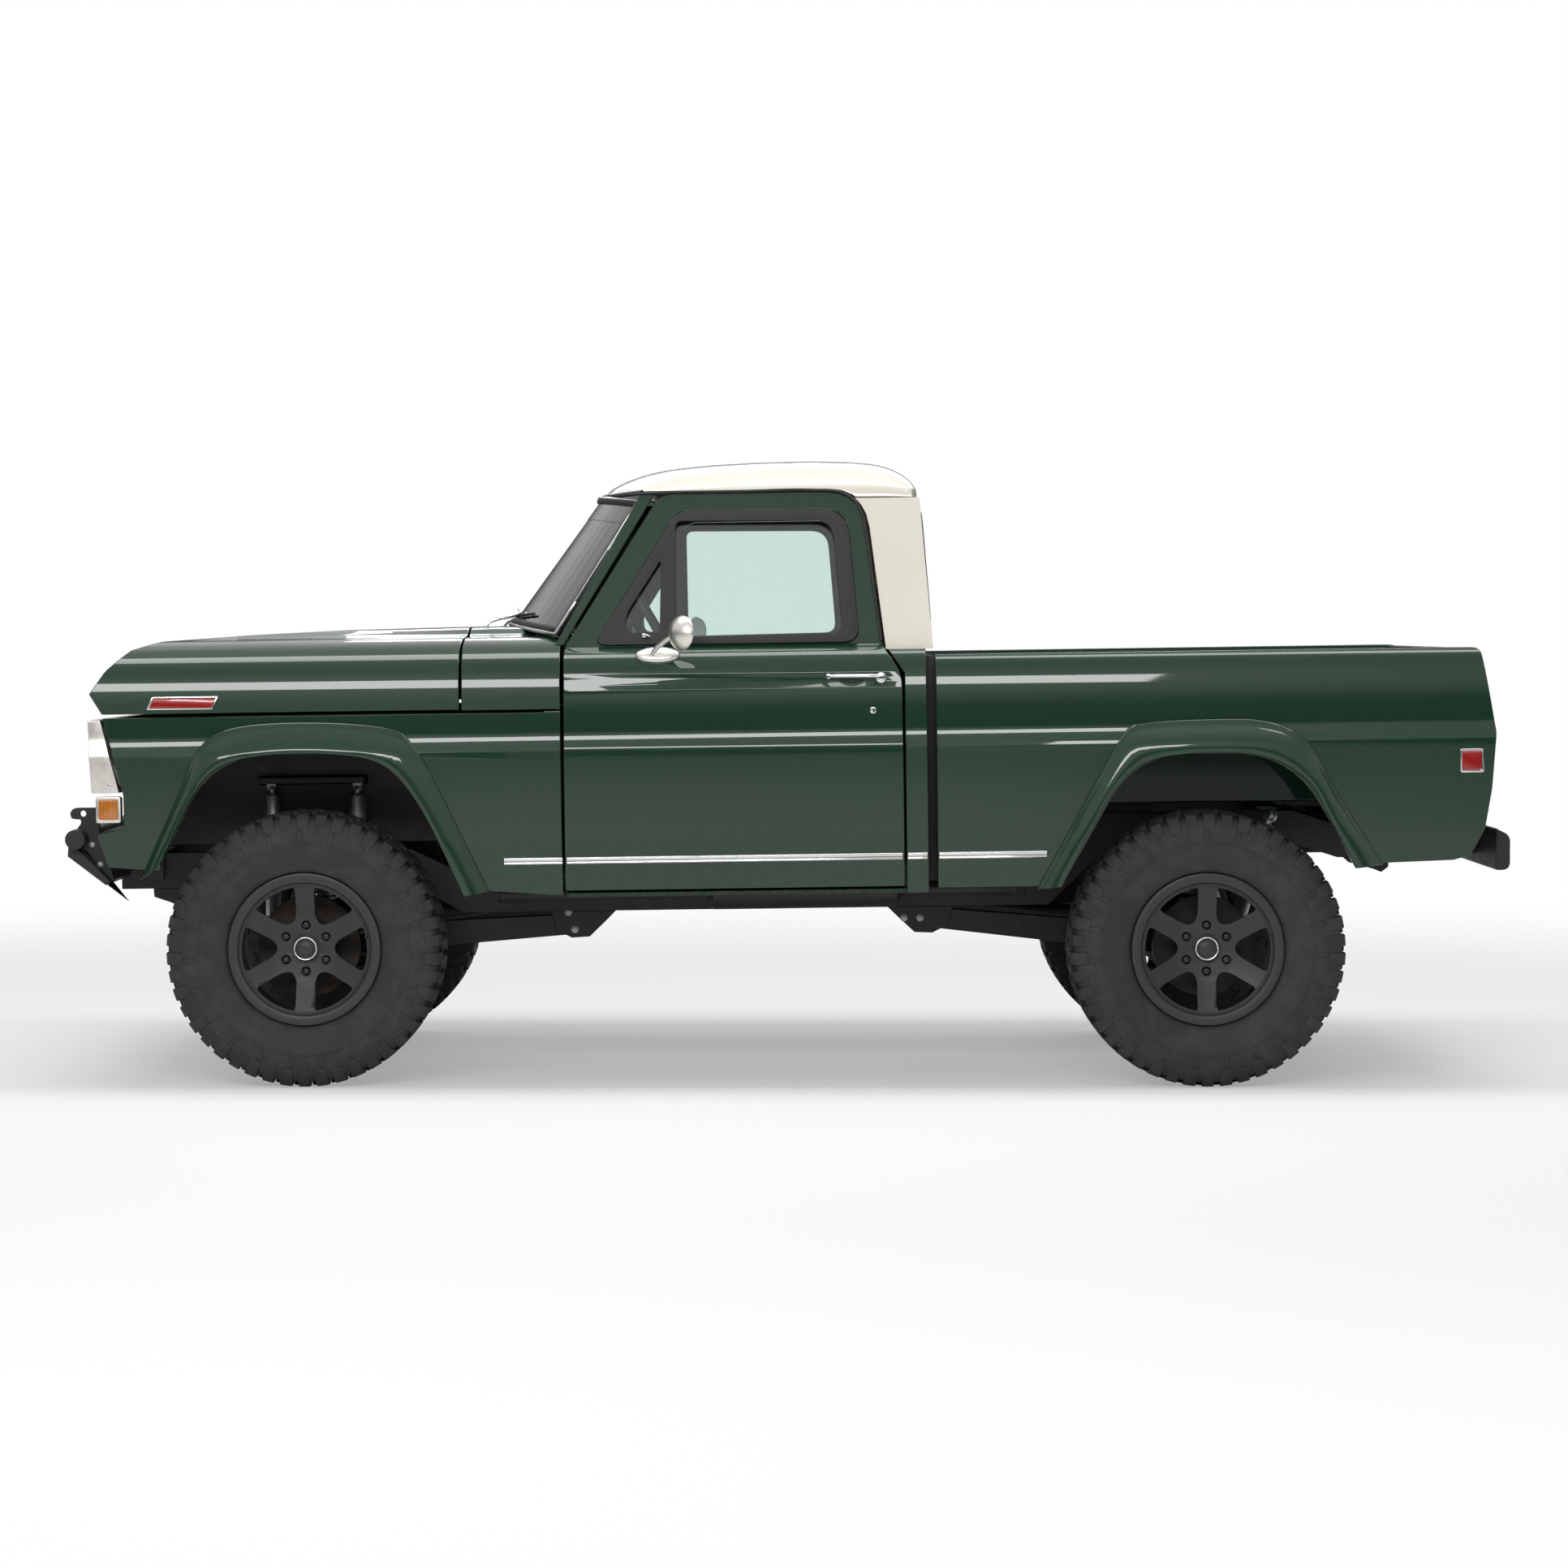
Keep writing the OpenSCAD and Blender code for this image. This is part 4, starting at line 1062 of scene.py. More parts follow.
# %% Gutter
seal_path = [(-548, 1924), (-396, 1931), (-150, 1932), (140, 1932), (196, 1925), (236, 1902), (262, 1862),
             (276, 1800), (300, 1600), (320, 1440)]
seal = tube("door_seal", [(x, -(side_y(z) + 1), z) for x, z in seal_path], 5, 8)
both_sides(tipped(seal), seal_rubber, "chassis", "rubber")
lip = []
for i in range(-20, 21):
    y = i / 20 * 738
    lip.append((-610 + 168 * (y / 760) ** 2, y, 1936))
gutter = tube("gutter_lip", lip, 6, 8)
placed(tipped(gutter), green_paint, "chassis", "green_paint")
print("gutter and seals on both sides")

# %% [markdown]
# ## Windshield trim
# The glass sits in a black rubber channel with a bright strip pressed into it. Both follow the edge
# of the glass, so one closed path serves both.

# %% Trim round the windshield
def screen_edge(out, grow=0.0, count=24):
    low = [screen(t, 1514 - 38 * t * t - grow, out)
           for t in [(-0.955 - grow / 880) * (1 - 2 * i / count) for i in range(count + 1)]]
    high = [screen(t, 1929 - 32 * t * t + grow, out)
            for t in [(0.93 + grow / 740) * (1 - 2 * i / count) for i in range(count + 1)]]
    up = [[low[-1][k] + (high[0][k] - low[-1][k]) * f for k in range(3)] for f in (0.25, 0.5, 0.75)]
    down = [[high[-1][k] + (low[0][k] - high[-1][k]) * f for k in range(3)] for f in (0.25, 0.5, 0.75)]
    return low + up + high + down


channel = tube("windshield_rubber", screen_edge(0, -4), 15, 12, True, False)
placed(tipped(channel), seal_rubber, "chassis", "rubber")
strip = tube("windshield_strip", screen_edge(9, 4), 7, 12, True, False)
placed(tipped(strip), stainless, "chassis", "chrome")


def wiper(name, side):
    pivot = (-988, side * 470, 1482)
    arm_path = [pivot, (-990, side * 470, 1502), screen(side * 0.40, 1540, 26), screen(side * 0.22, 1562, 20)]
    arm = tube(name + "_arm", arm_path, 4.5, 8)
    hub = cylinder(name + "_hub", (pivot[0], pivot[1], 1478), (pivot[0], pivot[1], 1506), 13, 20, 9)
    grip = tube(name + "_blade", [screen(side * t, 1536 + 18 * abs(0.26 - t), 10)
                                  for t in (0.62, 0.5, 0.38, 0.26, 0.14, 0.02)], 5, 8)
    return joined(name, [eased(hub, 2, 2), arm]), grip


for name, side in (("wiper_left", -1), ("wiper_right", 0.98)):
    metal, blade = wiper(name, side)
    placed(tipped(metal), stainless, "chassis", "chrome")
    placed(tipped(blade), seal_rubber, "chassis", "rubber")
print("windshield trim and two wipers")

# %% [markdown]
# ## Side windows
# Each door has a main glass and a small vent glass in front of it, with a black upright
# between them. All three sit in one wide black rubber frame, which is drawn as a plate with two
# rounded holes, eased on every edge and then laid on the leaning window plane.

# %% Window rubber
window_line = soft([(-611, 1437), (249, 1437), (215, 1869), (-336, 1869)], [45, 50, 85, 35])
main_line = soft([(-343, 1459), (196, 1465), (168, 1833), (-343, 1838)], [14, 40, 60, 26])
vent_line = soft([(-502, 1476), (-396, 1476), (-391, 1712), (-508, 1532)], [24, 10, 12, 30])
frame_rubber = plate("window_rubber", window_line, -14, 16)
cut(frame_rubber, plate("hole", main_line, -40, 40), plate("hole", vent_line, -40, 40))
eased(frame_rubber, 7, 3, 40, 40)
leaned(frame_rubber, -4)
both_sides(tipped(frame_rubber), seal_rubber, "door_SIDE", "rubber")
upright = plate("vent_upright", [(-392, 1462), (-345, 1462), (-345, 1845), (-358, 1845), (-392, 1760)], -6, 6)
eased(upright, 5, 3, 40)
leaned(upright, 2)
both_sides(tipped(upright), black_plastic, "door_SIDE", "black_plastic")
pivot = eased(cylinder("pivot", (-447, -895, 1466), (-447, -913, 1466), 9, 20, 7), 1.5, 2)
lever_line = [(-452, 1470), (-440, 1470), (-422, 1462), (-424, 1456), (-446, 1460)]
catch = joined("vent_catch", [pivot, eased(plate("lever", lever_line, -912, -907), 1, 1)])
both_sides(tipped(catch), chrome, "door_SIDE", "chrome")
print("window rubber, upright and catch on both doors")

# %% [markdown]
# ## Bright side strip
# A narrow polished strip runs low along the side, from behind the front wheel to the rear flare. It
# is one rolled section, cut where the panels part.

# %% Side strip
def side_strip(name, low, high, body):
    y = side_y(745)
    section = [(-(side_y(733) - 2), 733), (-(y + 3), 734), (-(y + 7), 738), (-(y + 5.5), 742),
               (-(y + 5.5), 749), (-(y + 7), 753), (-(y + 3), 757), (-(side_y(758) - 2), 758)]
    piece = eased(plate(name, section, low, high, "X"), 1.2, 2, 25)
    return both_sides(tipped(piece), stainless, body, "chrome")


side_strip("strip_fender", -905, -716, "chassis")
side_strip("strip_door", -703, 378, "door_SIDE")
side_strip("strip_corner", 395, 458, "chassis")
side_strip("strip_bed", 496, 842, "chassis")
print("side strips: 8 lengths")

# %% [markdown]
# ## Door handles, locks and mirrors
# A pull handle stands over a cupped hollow in the door, with a push button at its end. The hollow is
# cut from the door with a flattened ball. The mirror is a round polished shell on a slim arm, and
# its foot sits on the sloping shoulder of the door.

# %% Handles and locks
def flat_ball(name, place, radii):
    start()
    bpy.ops.mesh.primitive_uv_sphere_add(segments=32, ring_count=16, radius=1, location=Vector(place) * MM,
                                         scale=Vector(radii) * MM)
    piece = named(name)
    bpy.ops.object.transform_apply(location=True, rotation=True, scale=True)
    return piece


for name, side in (("left", -1), ("right", 1)):
    door = bpy.data.objects["door_" + name + "_panel"]
    hollow = flat_ball("hollow", (222, side * (side_y(1318) + 4), 1316), (44, 15, 21))
    cut(door, tipped(hollow))
    select_only(door)
    bpy.ops.object.shade_smooth_by_angle(angle=math.radians(35), keep_sharp_edges=True)
y = -(side_y(1320) + 1)
grip = tube("grip", [(146, y - 2, 1327), (160, y - 16, 1328), (225, y - 20, 1328), (300, y - 17, 1326),
                     (318, y - 6, 1324)], 7.5, 12)
grip.data.transform(Matrix.Translation((0, 0, 1.326)) @ Matrix.Scale(0.8, 4, (0, 0, 1))
                    @ Matrix.Translation((0, 0, -1.326)))
foot = eased(cylinder("foot", (316, y + 3, 1320), (316, y - 10, 1320), 19, 32, 16), 2.5, 3, 20)
button = eased(cylinder("button", (316, y - 8, 1320), (316, y - 22, 1320), 11, 28, 10), 2, 3, 20)
heel = eased(cylinder("heel", (148, y + 3, 1327), (148, y - 6, 1327), 10, 24, 8), 1.5, 2, 20)
both_sides(tipped(joined("door_pull", [grip, foot, button, heel])), chrome, "door_SIDE", "chrome")
y = -(side_y(1216) + 1)
lock = eased(cylinder("rim", (289, y + 3, 1216), (289, y - 5, 1216), 12, 28, 10.5), 1.2, 2, 20)
slot_cut = plate("key", [(287.8, 1209), (290.2, 1209), (290.2, 1223), (287.8, 1223)], y - 9, y - 3)
cut(lock, slot_cut)
lock.name = lock.data.name = "door_lock"
both_sides(tipped(lock), chrome, "door_SIDE", "chrome")

# %% Mirrors
shell = spun("mirror_shell", [(0.01, 26), (10, 25.5), (24, 22), (38, 15), (50, 6), (56.5, -3), (57.5, -8),
                              (55, -11), (53, -8), (0.01, -8)], "Z", (0, 0), 48)
eased(shell, 0.8, 2, 40, 60)
pane = spun("mirror_pane", [(0.01, -7), (0.01, -9.5), (52, -9.5), (53, -7)], "Z", (0, 0), 48)
n = Vector((-0.755, -0.656, 0.05)).normalized()
head_turn = n.to_track_quat("Z", "Y").to_matrix().to_4x4()
head_place = Matrix.Translation(Vector((-326, -1052, 1473)) * MM) @ head_turn
shell.data.transform(head_place)
pane.data.transform(head_place)
arm = tube("arm", [(-420, -968, 1404), (-412, -980, 1416), (-385, -1008, 1440), (-352, -1034, 1462),
                   (-338, -1044, 1470)], 8, 12)
neck = flat_ball("neck", (-338, -1043, 1470), (13, 13, 13))
foot = spun("foot", [(0.01, 12), (18, 11), (27, 7), (30, 0), (30, -9), (0.01, -9)], "Z", (0, 0), 40)
eased(foot, 0.8, 1, 50, 60)
foot.data.transform(Matrix.Scale(2.4, 4, (1, 0, 0)))
foot.data.transform(Matrix.Translation(Vector((-402, -953, 1404)) * MM)
                    @ Matrix.Rotation(math.radians(51.5), 4, "X"))
mirror = joined("door_mirror", [shell, arm, neck, foot])
both_sides(tipped(mirror), lamp_metal, "door_SIDE", "chrome", "mirror_SIDE")
both_sides(tipped(pane), chrome, "door_SIDE", "chrome")
print("handles, locks and mirrors on both doors")

# %% [markdown]
# ## Fender flares
# The flares are moulded shells. Each one starts flush against the body, swells out over the tyre and
# rolls back in at the arch. Two outlines are enough to describe it, the outer edge and the arch. Both
# are smoothed and divided into the same number of steps, and the shell is swept between them.

# %% Flares
def evenly(points, count):
    """Points at even steps along a smooth curve through the given ones."""
    fine = []
    for i in range(len(points) - 1):
        p0, p1 = points[max(i - 1, 0)], points[i]
        p2, p3 = points[i + 1], points[min(i + 2, len(points) - 1)]
        for n in range(8):
            t = n / 8
            fine.append([0.5 * (2 * b + (c - a) * t + (2 * a - 5 * b + 4 * c - d) * t * t
                                + (3 * b - a - 3 * c + d) * t ** 3) for a, b, c, d in zip(p0, p1, p2, p3)])
    fine.append(list(points[-1]))
    reach = [0.0]
    for a, b in zip(fine, fine[1:]):
        reach.append(reach[-1] + math.dist(a, b))
    out = []
    for k in range(count + 1):
        want, i = reach[-1] * k / count, 0
        while i < len(fine) - 2 and reach[i + 1] < want:
            i += 1
        t = (want - reach[i]) / (reach[i + 1] - reach[i])
        out.append([a + (b - a) * t for a, b in zip(fine[i], fine[i + 1])])
    return out


SWELL = [(0.0, 0.5), (0.0, 5), (0.03, 8), (0.10, 11), (0.22, 20), (0.40, 33), (0.60, 41), (0.80, 45),
         (0.93, 46), (0.985, 44), (1.0, 39), (1.0, 22), (0.995, 4)]


def flare(name, outer, inner, count=56):
    rows = []
    for (xo, zo), (xi, zi) in zip(evenly(outer, count), evenly(inner, count)):
        row = []
        for t, out in SWELL:
            x, z = xo + (xi - xo) * t, zo + (zi - zo) * t
            row.append((x, -(side_y(z) + out), z))
        rows.append(row)
    piece = outwards(sheet(name, rows))
    applied(piece, "SOLIDIFY", thickness=0.003, offset=0)
    outwards(piece)
    eased(piece, 0.8, 1, 60, 40)
    return piece


front_edge = [(-2074, 703), (-1953, 962), (-1873, 1129), (-1755, 1188), (-1521, 1200), (-1287, 1181),
              (-1197, 1133), (-1096, 950), (-957, 649)]
front_arch = [(-2010, 745), (-1905, 961), (-1812, 1063), (-1655, 1101), (-1418, 1098), (-1272, 1056),
              (-1158, 911), (-1032, 637)]
rear_edge = [(811, 632), (971, 921), (1091, 1127), (1156, 1160), (1364, 1170), (1546, 1162), (1675, 1101),
             (1789, 909), (1922, 697)]
rear_arch = [(886, 641), (993, 855), (1112, 1010), (1257, 1061), (1518, 1058), (1676, 976), (1752, 845),
             (1834, 688)]
front_flare = flare("flare_front", front_edge, front_arch)
both_sides(tipped(front_flare), green_paint, "chassis", "green_paint", "fender_flares")
rear_flare = flare("flare_rear", rear_edge, rear_arch)
both_sides(tipped(rear_flare), green_paint, "chassis", "green_paint")
print("flares:", len(front_flare.data.polygons), "faces each")

# %% [markdown]
# ## Nose
# The grille is a satin surround with bars across it and dark mesh behind them. Each headlamp is a
# sealed glass unit: a fluted lens, a chrome bowl behind it, and a retaining ring held by screws.
# Turning lamps and markers are all the same idea, a bright bezel with a coloured lens that swells
# out of it.

# %% Grille and headlamps
panel("grille", lamp_metal, "aluminium", 1.8, 2, False)
ring = spun("headlamp_ring", [(87, -2226), (90, -2233), (97, -2237), (104, -2233), (107, -2226),
                              (107, -2220), (87, -2220)],
            "X", (-705, 1100), 56)
eased(ring, 0.6, 1, 50, 60)
screws = []
for angle in (90, 210, 330):
    y, z = -705 + 98 * math.cos(math.radians(angle)), 1100 + 98 * math.sin(math.radians(angle))
    screws.append(eased(cylinder("screw", (-2232, y, z), (-2239, y, z), 4, 12, 2.5), 0.6, 1))
both_sides(tipped(joined("headlamp_ring", [ring] + screws)), chrome, "chassis", "chrome")
lens_glass = spun("headlamp_lens", [(0.01, -2237), (22, -2236.5), (44, -2235), (64, -2232.5), (80, -2229),
                                    (88, -2224), (88, -2220), (80, -2224),
                                    (0.01, -2232)], "X", (-705, 1100), 56)
eased(lens_glass, 0.5, 1, 60, 60)
both_sides(tipped(lens_glass), clear_lens, "chassis", "clear_lens", "front_lamps")
bowl = spun("headlamp_bowl", [(0.01, -2176), (30, -2178), (56, -2190), (76, -2208), (87, -2222), (89, -2221),
                              (79, -2204), (58, -2184), (30, -2171), (0.01, -2169)], "X", (-705, 1100), 56)
eased(bowl, 0.4, 1, 60, 60)
both_sides(tipped(bowl), chrome, "chassis", "chrome")
y = -(side_y(1010) + 0.5)
screw = cylinder("surround_screw", (-2166, y + 3, 1010), (-2166, y - 4, 1010), 8, 20, 5)
both_sides(tipped(eased(screw, 1.2, 2)), chrome, "chassis", "chrome")

mesh_bars = []
for i in range(27):
    y = -494 + i * 38
    mesh_bars.append(eased(plate("bar", [(-2188, 1018), (-2181, 1018), (-2181, 1188), (-2188, 1188)],
                                 y - 1.5, y + 1.5), 0.6, 1))
placed(tipped(joined("grille_mesh", mesh_bars)), black_plastic, "chassis", "aluminium")


# %% Lamps with a bezel
def boxed_lamp(name, low, high, rim, deep, metal, glass, *stands_for):
    """A rounded rectangular lamp on the body side, between two [x, z] corners."""
    (x0, z0), (x1, z1) = low, high
    mid = side_y((z0 + z1) / 2)
    cuts = [9, 9, 9, 9]
    outer = soft([(x0, z0), (x1, z0), (x1, z1), (x0, z1)], cuts)
    inner = soft([(x0 + rim, z0 + rim), (x1 - rim, z0 + rim), (x1 - rim, z1 - rim), (x0 + rim, z1 - rim)],
                 [6, 6, 6, 6])
    bezel = plate(name + "_bezel", outer, -mid - 7, -mid + deep)
    cut(bezel, plate("hole", inner, -mid - 30, -mid + deep - 6))
    eased(bezel, 2.2, 3, 40)
    both_sides(tipped(bezel), metal, "chassis", "chrome", *stands_for)
    glass_piece = plate(name + "_lens", inner, -mid - 11, -mid + deep - 8)
    eased(glass_piece, 5.5, 4, 40)
    both_sides(tipped(glass_piece), glass, "chassis", "red_lens" if glass == red_lens else "clear_lens")


boxed_lamp("turning_lamp", (-2212, 888), (-2132, 972), 10, 34, lamp_metal, amber_lens)
boxed_lamp("side_marker", (2171, 990), (2248, 1067), 8, 12, chrome, red_lens)
tail = plate("tail_lamp_lens", soft([(904, 936), (968, 936), (968, 1194), (904, 1194)], [14, 14, 14, 14]),
             2240, 2287, "X")
tail.data.transform(OTHER_SIDE)
outwards(tail)
eased(tail, 7, 4, 40)
for v in tail.data.vertices:
    z = v.co.z / MM
    edge = 2272 + (z - 936) * 15 / 174 if z < 1110 else 2287 - (z - 1110) * 9 / 84
    if v.co.x > 2.26:
        v.co.x += (edge - 2287) * MM
both_sides(tipped(tail), red_lens, "chassis", "red_lens", "tail_lamps")
rim_outline = soft([(902, 934), (970, 934), (970, 1196), (902, 1196)], [16, 16, 16, 16])
rim_path = [(2262 + (3 if z > 1100 else 0), -y, z) for y, z in rim_outline]
both_sides(tipped(tube("tail_lamp_rim", rim_path, 5, 8, True, False)), chrome, "chassis", "chrome")
white = plate("reversing_lens", soft([(912, 1040), (960, 1040), (960, 1086), (912, 1086)], [6, 6, 6, 6]),
              2270, 2287, "X")
white.data.transform(OTHER_SIDE)
outwards(white)
eased(white, 3, 2, 40)
both_sides(tipped(white), clear_lens, "chassis", "clear_lens")
print("lamps: 2 headlamps, 2 turning lamps, 2 markers, 2 tail lamps")

# %% [markdown]
# ## Hood side plates and sun band
# A plain enamel plate in a chrome frame is fixed to each side of the hood. It carries no lettering.
# The glass of the windshield is tinted along its top edge, which is a thin sheet laid over it.

# %% Side plates
plate_line = [(-2045, 1249), (-1832, 1249), (-1815, 1291), (-2028, 1291)]
inner_line = [(-2037, 1254), (-1836, 1254), (-1822, 1286), (-2023, 1286)]
rim = plate("hood_plate_rim", soft(plate_line, [4, 4, 4, 4], 3), -7, 2)
cut(rim, plate("hole", inner_line, -20, -3))
eased(rim, 1.2, 2, 40)
both_sides(tipped(hugging(rim)), chrome, "hood", "chrome")
enamel = plate("hood_plate_enamel", soft(inner_line, [3, 3, 3, 3], 3), -5, 0)
eased(enamel, 1, 2, 40)
both_sides(tipped(hugging(enamel)), red_lens, "hood", "red_lens")
print("side plates on the hood")

# %% Sun band at the top of the windshield
rows = [[screen(t / 10 * 0.925, 1926 - 32 * (t / 10) ** 2 - drop, 1.2) for t in range(-10, 11)]
        for drop in (0, 28, 62)]
band = outwards(sheet("sun_band", rows))
applied(band, "SOLIDIFY", thickness=0.0012, offset=0)
placed(tipped(band), tinted_band, "chassis", "glass")
liner = tube("header_trim", [screen(t / 10 * 0.935, 1934 - 30 * (t / 10) ** 2, 12) for t in range(-10, 11)],
             6, 8)
placed(tipped(liner), stainless, "chassis", "chrome")
print("sun band ready")

# %% [markdown]
# ## Tailgate, bed and bumpers
# The tailgate has a raised stiffening band, and a latch handle in a cup at its top edge. The bed
# floor is ribbed lengthwise so that a sheet can carry a load. The bumpers and arms get their bolts.

# %% Ribs, latch and bolts
ribs = []
for i in range(13):
    y = -564 + i * 94
    ribs.append(eased(plate("rib", [(y - 17, 911.5), (y - 10, 918), (y + 10, 918), (y + 17, 911.5)], 530,
                            2190, "X"), 1.5, 2, 20))
placed(tipped(joined("bed_ribs", ribs)), green_inside_shaded, "chassis", "green_paint")
band = plate("tailgate_band", soft([(-560, 1120), (560, 1120), (560, 1230), (-560, 1230)], [24, 24, 24, 24]),
             2262, 2281, "X")
eased(band, 6, 3, 40)
placed(tipped(band), green_paint, "tailgate", "green_paint")
hollow = eased(plate("latch_cup", soft([(-70, 1292), (70, 1292), (70, 1336), (-70, 1336)], [14, 14, 14, 14]),
                     2240, 2262, "X"), 2, 2, 40)
placed(tipped(hollow), black_plastic, "tailgate", "black_plastic")
pull = tube("latch_pull", [(2258, -52, 1316), (2268, -44, 1318), (2270, 0, 1320), (2268, 44, 1318),
                           (2258, 52, 1316)], 6, 12)
placed(tipped(pull), chrome, "tailgate", "chrome")


def hex_bolt(name, place, aim, size=10):
    """A hexagon head on its washer; aim is the way it looks."""
    p, n = Vector(place), Vector(aim).normalized()
    washer = eased(cylinder("washer", p, p + n * 2.2, size * 1.15, 20), 0.4, 1)
    head = eased(cylinder("head", p + n * 2, p + n * (2 + size * 0.7), size, 6, size * 0.94), 0.8, 2)
    return joined(name, [washer, head])


bumper_bolts = [hex_bolt("bolt", (-2338 + 5, s * y, 760), (-1, 0, 0.1), 9) for s in (-1, 1)
                for y in (520, 700)]
bumper_bolts += [hex_bolt("bolt", (x, s * 860.5, z), (0, s, 0), 8) for s in (-1, 1)
                 for x, z in ((-2262, 780), (-2236, 716))]
placed(joined("front_bumper_bolts", bumper_bolts), bare_steel, "chassis", "steel")
bumper_bolts = [hex_bolt("bolt", (2339.5, s * y, 770), (1, 0, 0), 11) for s in (-1, 1) for y in (380, 560)]
placed(joined("rear_bumper_bolts", bumper_bolts), bare_steel, "chassis", "steel")
arm_bolts = []
for s in (-1, 1):
    for x, z, size in ((-738, 531, 11), (-716, 473, 11), (388, 512, 11), (442, 512, 11)):
        arm_bolts.append(hex_bolt("bolt", (x, s * 425, z), (0, s, 0), size))
placed(joined("arm_bolts", arm_bolts), bare_steel, "chassis", "steel")
print("bed, tailgate and bolts")

# %% [markdown]
# ## Axles and knuckles
# The axle housings are castings with welded tubes. Their edges are rounded like the body panels, and
# each one gets the part that tells what it is: the domed cover of its differential, with a rib
# across it and a ring of bolts round it.

# %% Axles
for node in ("front_axle", "rear_axle"):
    panel(node, frame_black, "black_steel", 2.0, 2, False)
for node in ("knuckle_right", "knuckle_left"):
    panel(node, cast_iron, "cast", 1.6, 2, False)
panel("tie_rod", bare_steel, "steel", 1.5, 2, False)
panel("pitman_arm", cast_iron, "cast", 2.0, 2, False)
panel("gearbox", cast_iron, "cast", 8.0, 3, False)
panel("propeller_shafts", frame_black, "black_steel", 1.5, 2, False)


def ring_points(count, radius, start_at=0.0):
    return [(radius * math.cos(2 * math.pi * i / count + start_at),
             radius * math.sin(2 * math.pi * i / count + start_at))
            for i in range(count)]


def axle_cover(name, x, y, toward, radius):
    """A domed cover on the differential with a ring of bolts."""
    z = AXLE_UP / MM
    profile = [(0.01, x + toward * 40), (radius * 0.45, x + toward * 36), (radius * 0.72, x + toward * 22),
               (radius * 0.86, x + toward * 4), (radius, x + toward * 2), (radius, x - toward * 8),
               (0.01, x - toward * 8)]
    piece = spun(name, profile, "X", (y, z), 36)
    eased(piece, 1.5, 2, 40, 40)
    bolts = [hex_bolt("bolt", (x + toward * 2, y + a, z + b), (toward, 0, 0), 6)
             for a, b in ring_points(10, radius * 0.93, 0.3)]
    rib = eased(plate("rib", [(x + toward * 2, z - radius * 0.7), (x + toward * 43, z - 20),
                              (x + toward * 43, z + 20),
                              (x + toward * 2, z + radius * 0.7)], y - 4, y + 4), 1.5, 2)
    return joined(name, [piece, rib] + bolts)


placed(axle_cover("rear_axle_cover", 1356 + 118, 0, 1, 112), frame_black, "chassis", "black_steel")
placed(axle_cover("front_axle_cover", -1565 - 112, 180, -1, 84), frame_black, "chassis", "black_steel")

# %% [markdown]
# ## Coil springs
# A coil spring is one steel bar wound round a cylinder. The path of its centre line is a helix, and the
# last turn at each end lies nearly flat, as on a ground and closed spring.

# %% Springs
def coil_spring(name, x, low, high, turns, radius=52, wire=8.5):
    path, steps = [], 18 * turns
    for i in range(steps + 1):
        t = i / steps
        angle = 2 * math.pi * turns * t
        ease = min(max((t - 0.08) / 0.84, 0), 1)
        z = low + wire + (high - low - 2 * wire) * (0.04 * t + 0.96 * ease)
        path.append((x + radius * math.cos(angle), -500 + radius * math.sin(angle), z))
    return tube(name, path, wire, 8, False, False)


def spring_cups(x, low, high):
    parts = []
    for z, way in ((low, 1), (high, -1)):
        parts.append(spun("cup", [(0.01, z), (60, z), (63, z + way * 2), (63, z + way * 12),
                                  (60, z + way * 12), (59, z + way * 4),
                                  (0.01, z + way * 4)], "Z", (x, -500), 32))
    post = spun("stop", [(0.01, high - 90), (14, high - 88), (22, high - 70), (24, high - 30),
                         (30, high - 4), (0.01, high - 4)],
                "Z", (x, -500), 24)
    return [eased(p, 1.2, 1, 40, 40) for p in parts] + [eased(post, 1, 1, 50, 50)]


both_sides(coil_spring("spring_front", -1559, 500, 716, 7), bare_steel, "chassis", "steel", "coil_springs")
both_sides(coil_spring("spring_rear", 1362, 502, 752, 8), bare_steel, "chassis", "steel")
both_sides(joined("spring_seats", spring_cups(-1559, 495, 717) + spring_cups(1362, 497, 755)), seal_rubber,
           "chassis", "rubber")

# %% [markdown]
# ## Shock absorbers
# Each damper has a body tube, a larger dust sleeve over its rod, and an eye with a rubber bush at both ends.
# It is turned standing upright at the origin, then leaned between its two mounts.

# %% Dampers
def damper(name, low, high):
    low, high = Vector(low), Vector(high)
    long = (high - low).length
    body = spun("body", [(0.01, 26), (20, 26), (24, 34), (25, 48), (25, long * 0.56), (22, long * 0.58),
                         (0.01, long * 0.58)],
                "Z", (0, 0), 28)
    sleeve = spun("sleeve", [(26.5, long * 0.44), (28.5, long * 0.44), (28.5, long - 42), (24, long - 32),
                             (0.01, long - 32), (0.01, long - 36), (22, long - 36),
                             (26.5, long - 44)], "Z", (0, 0), 28)
    rod = cylinder("rod", (0, 0, long * 0.5), (0, 0, long - 16), 7, 16)
    parts = [eased(body, 1.2, 2, 40), eased(sleeve, 0.8, 1, 40), rod]
    for at in (0, long):
        eye = spun("eye", [(11, -15), (21, -15), (21, 15), (11, 15)], "Y", (0, at), 24)
        parts.append(eased(eye, 1.5, 2, 40))
        parts.append(eased(cylinder("neck", (0, 0, 14 if at == 0 else long - 38),
                                    (0, 0, 30 if at == 0 else long - 14), 11, 16), 1, 1))
    piece = joined(name, parts)
    turn = (high - low).to_track_quat("Z", "Y").to_matrix().to_4x4()
    piece.data.transform(Matrix.Translation(low * MM) @ turn)
    return piece


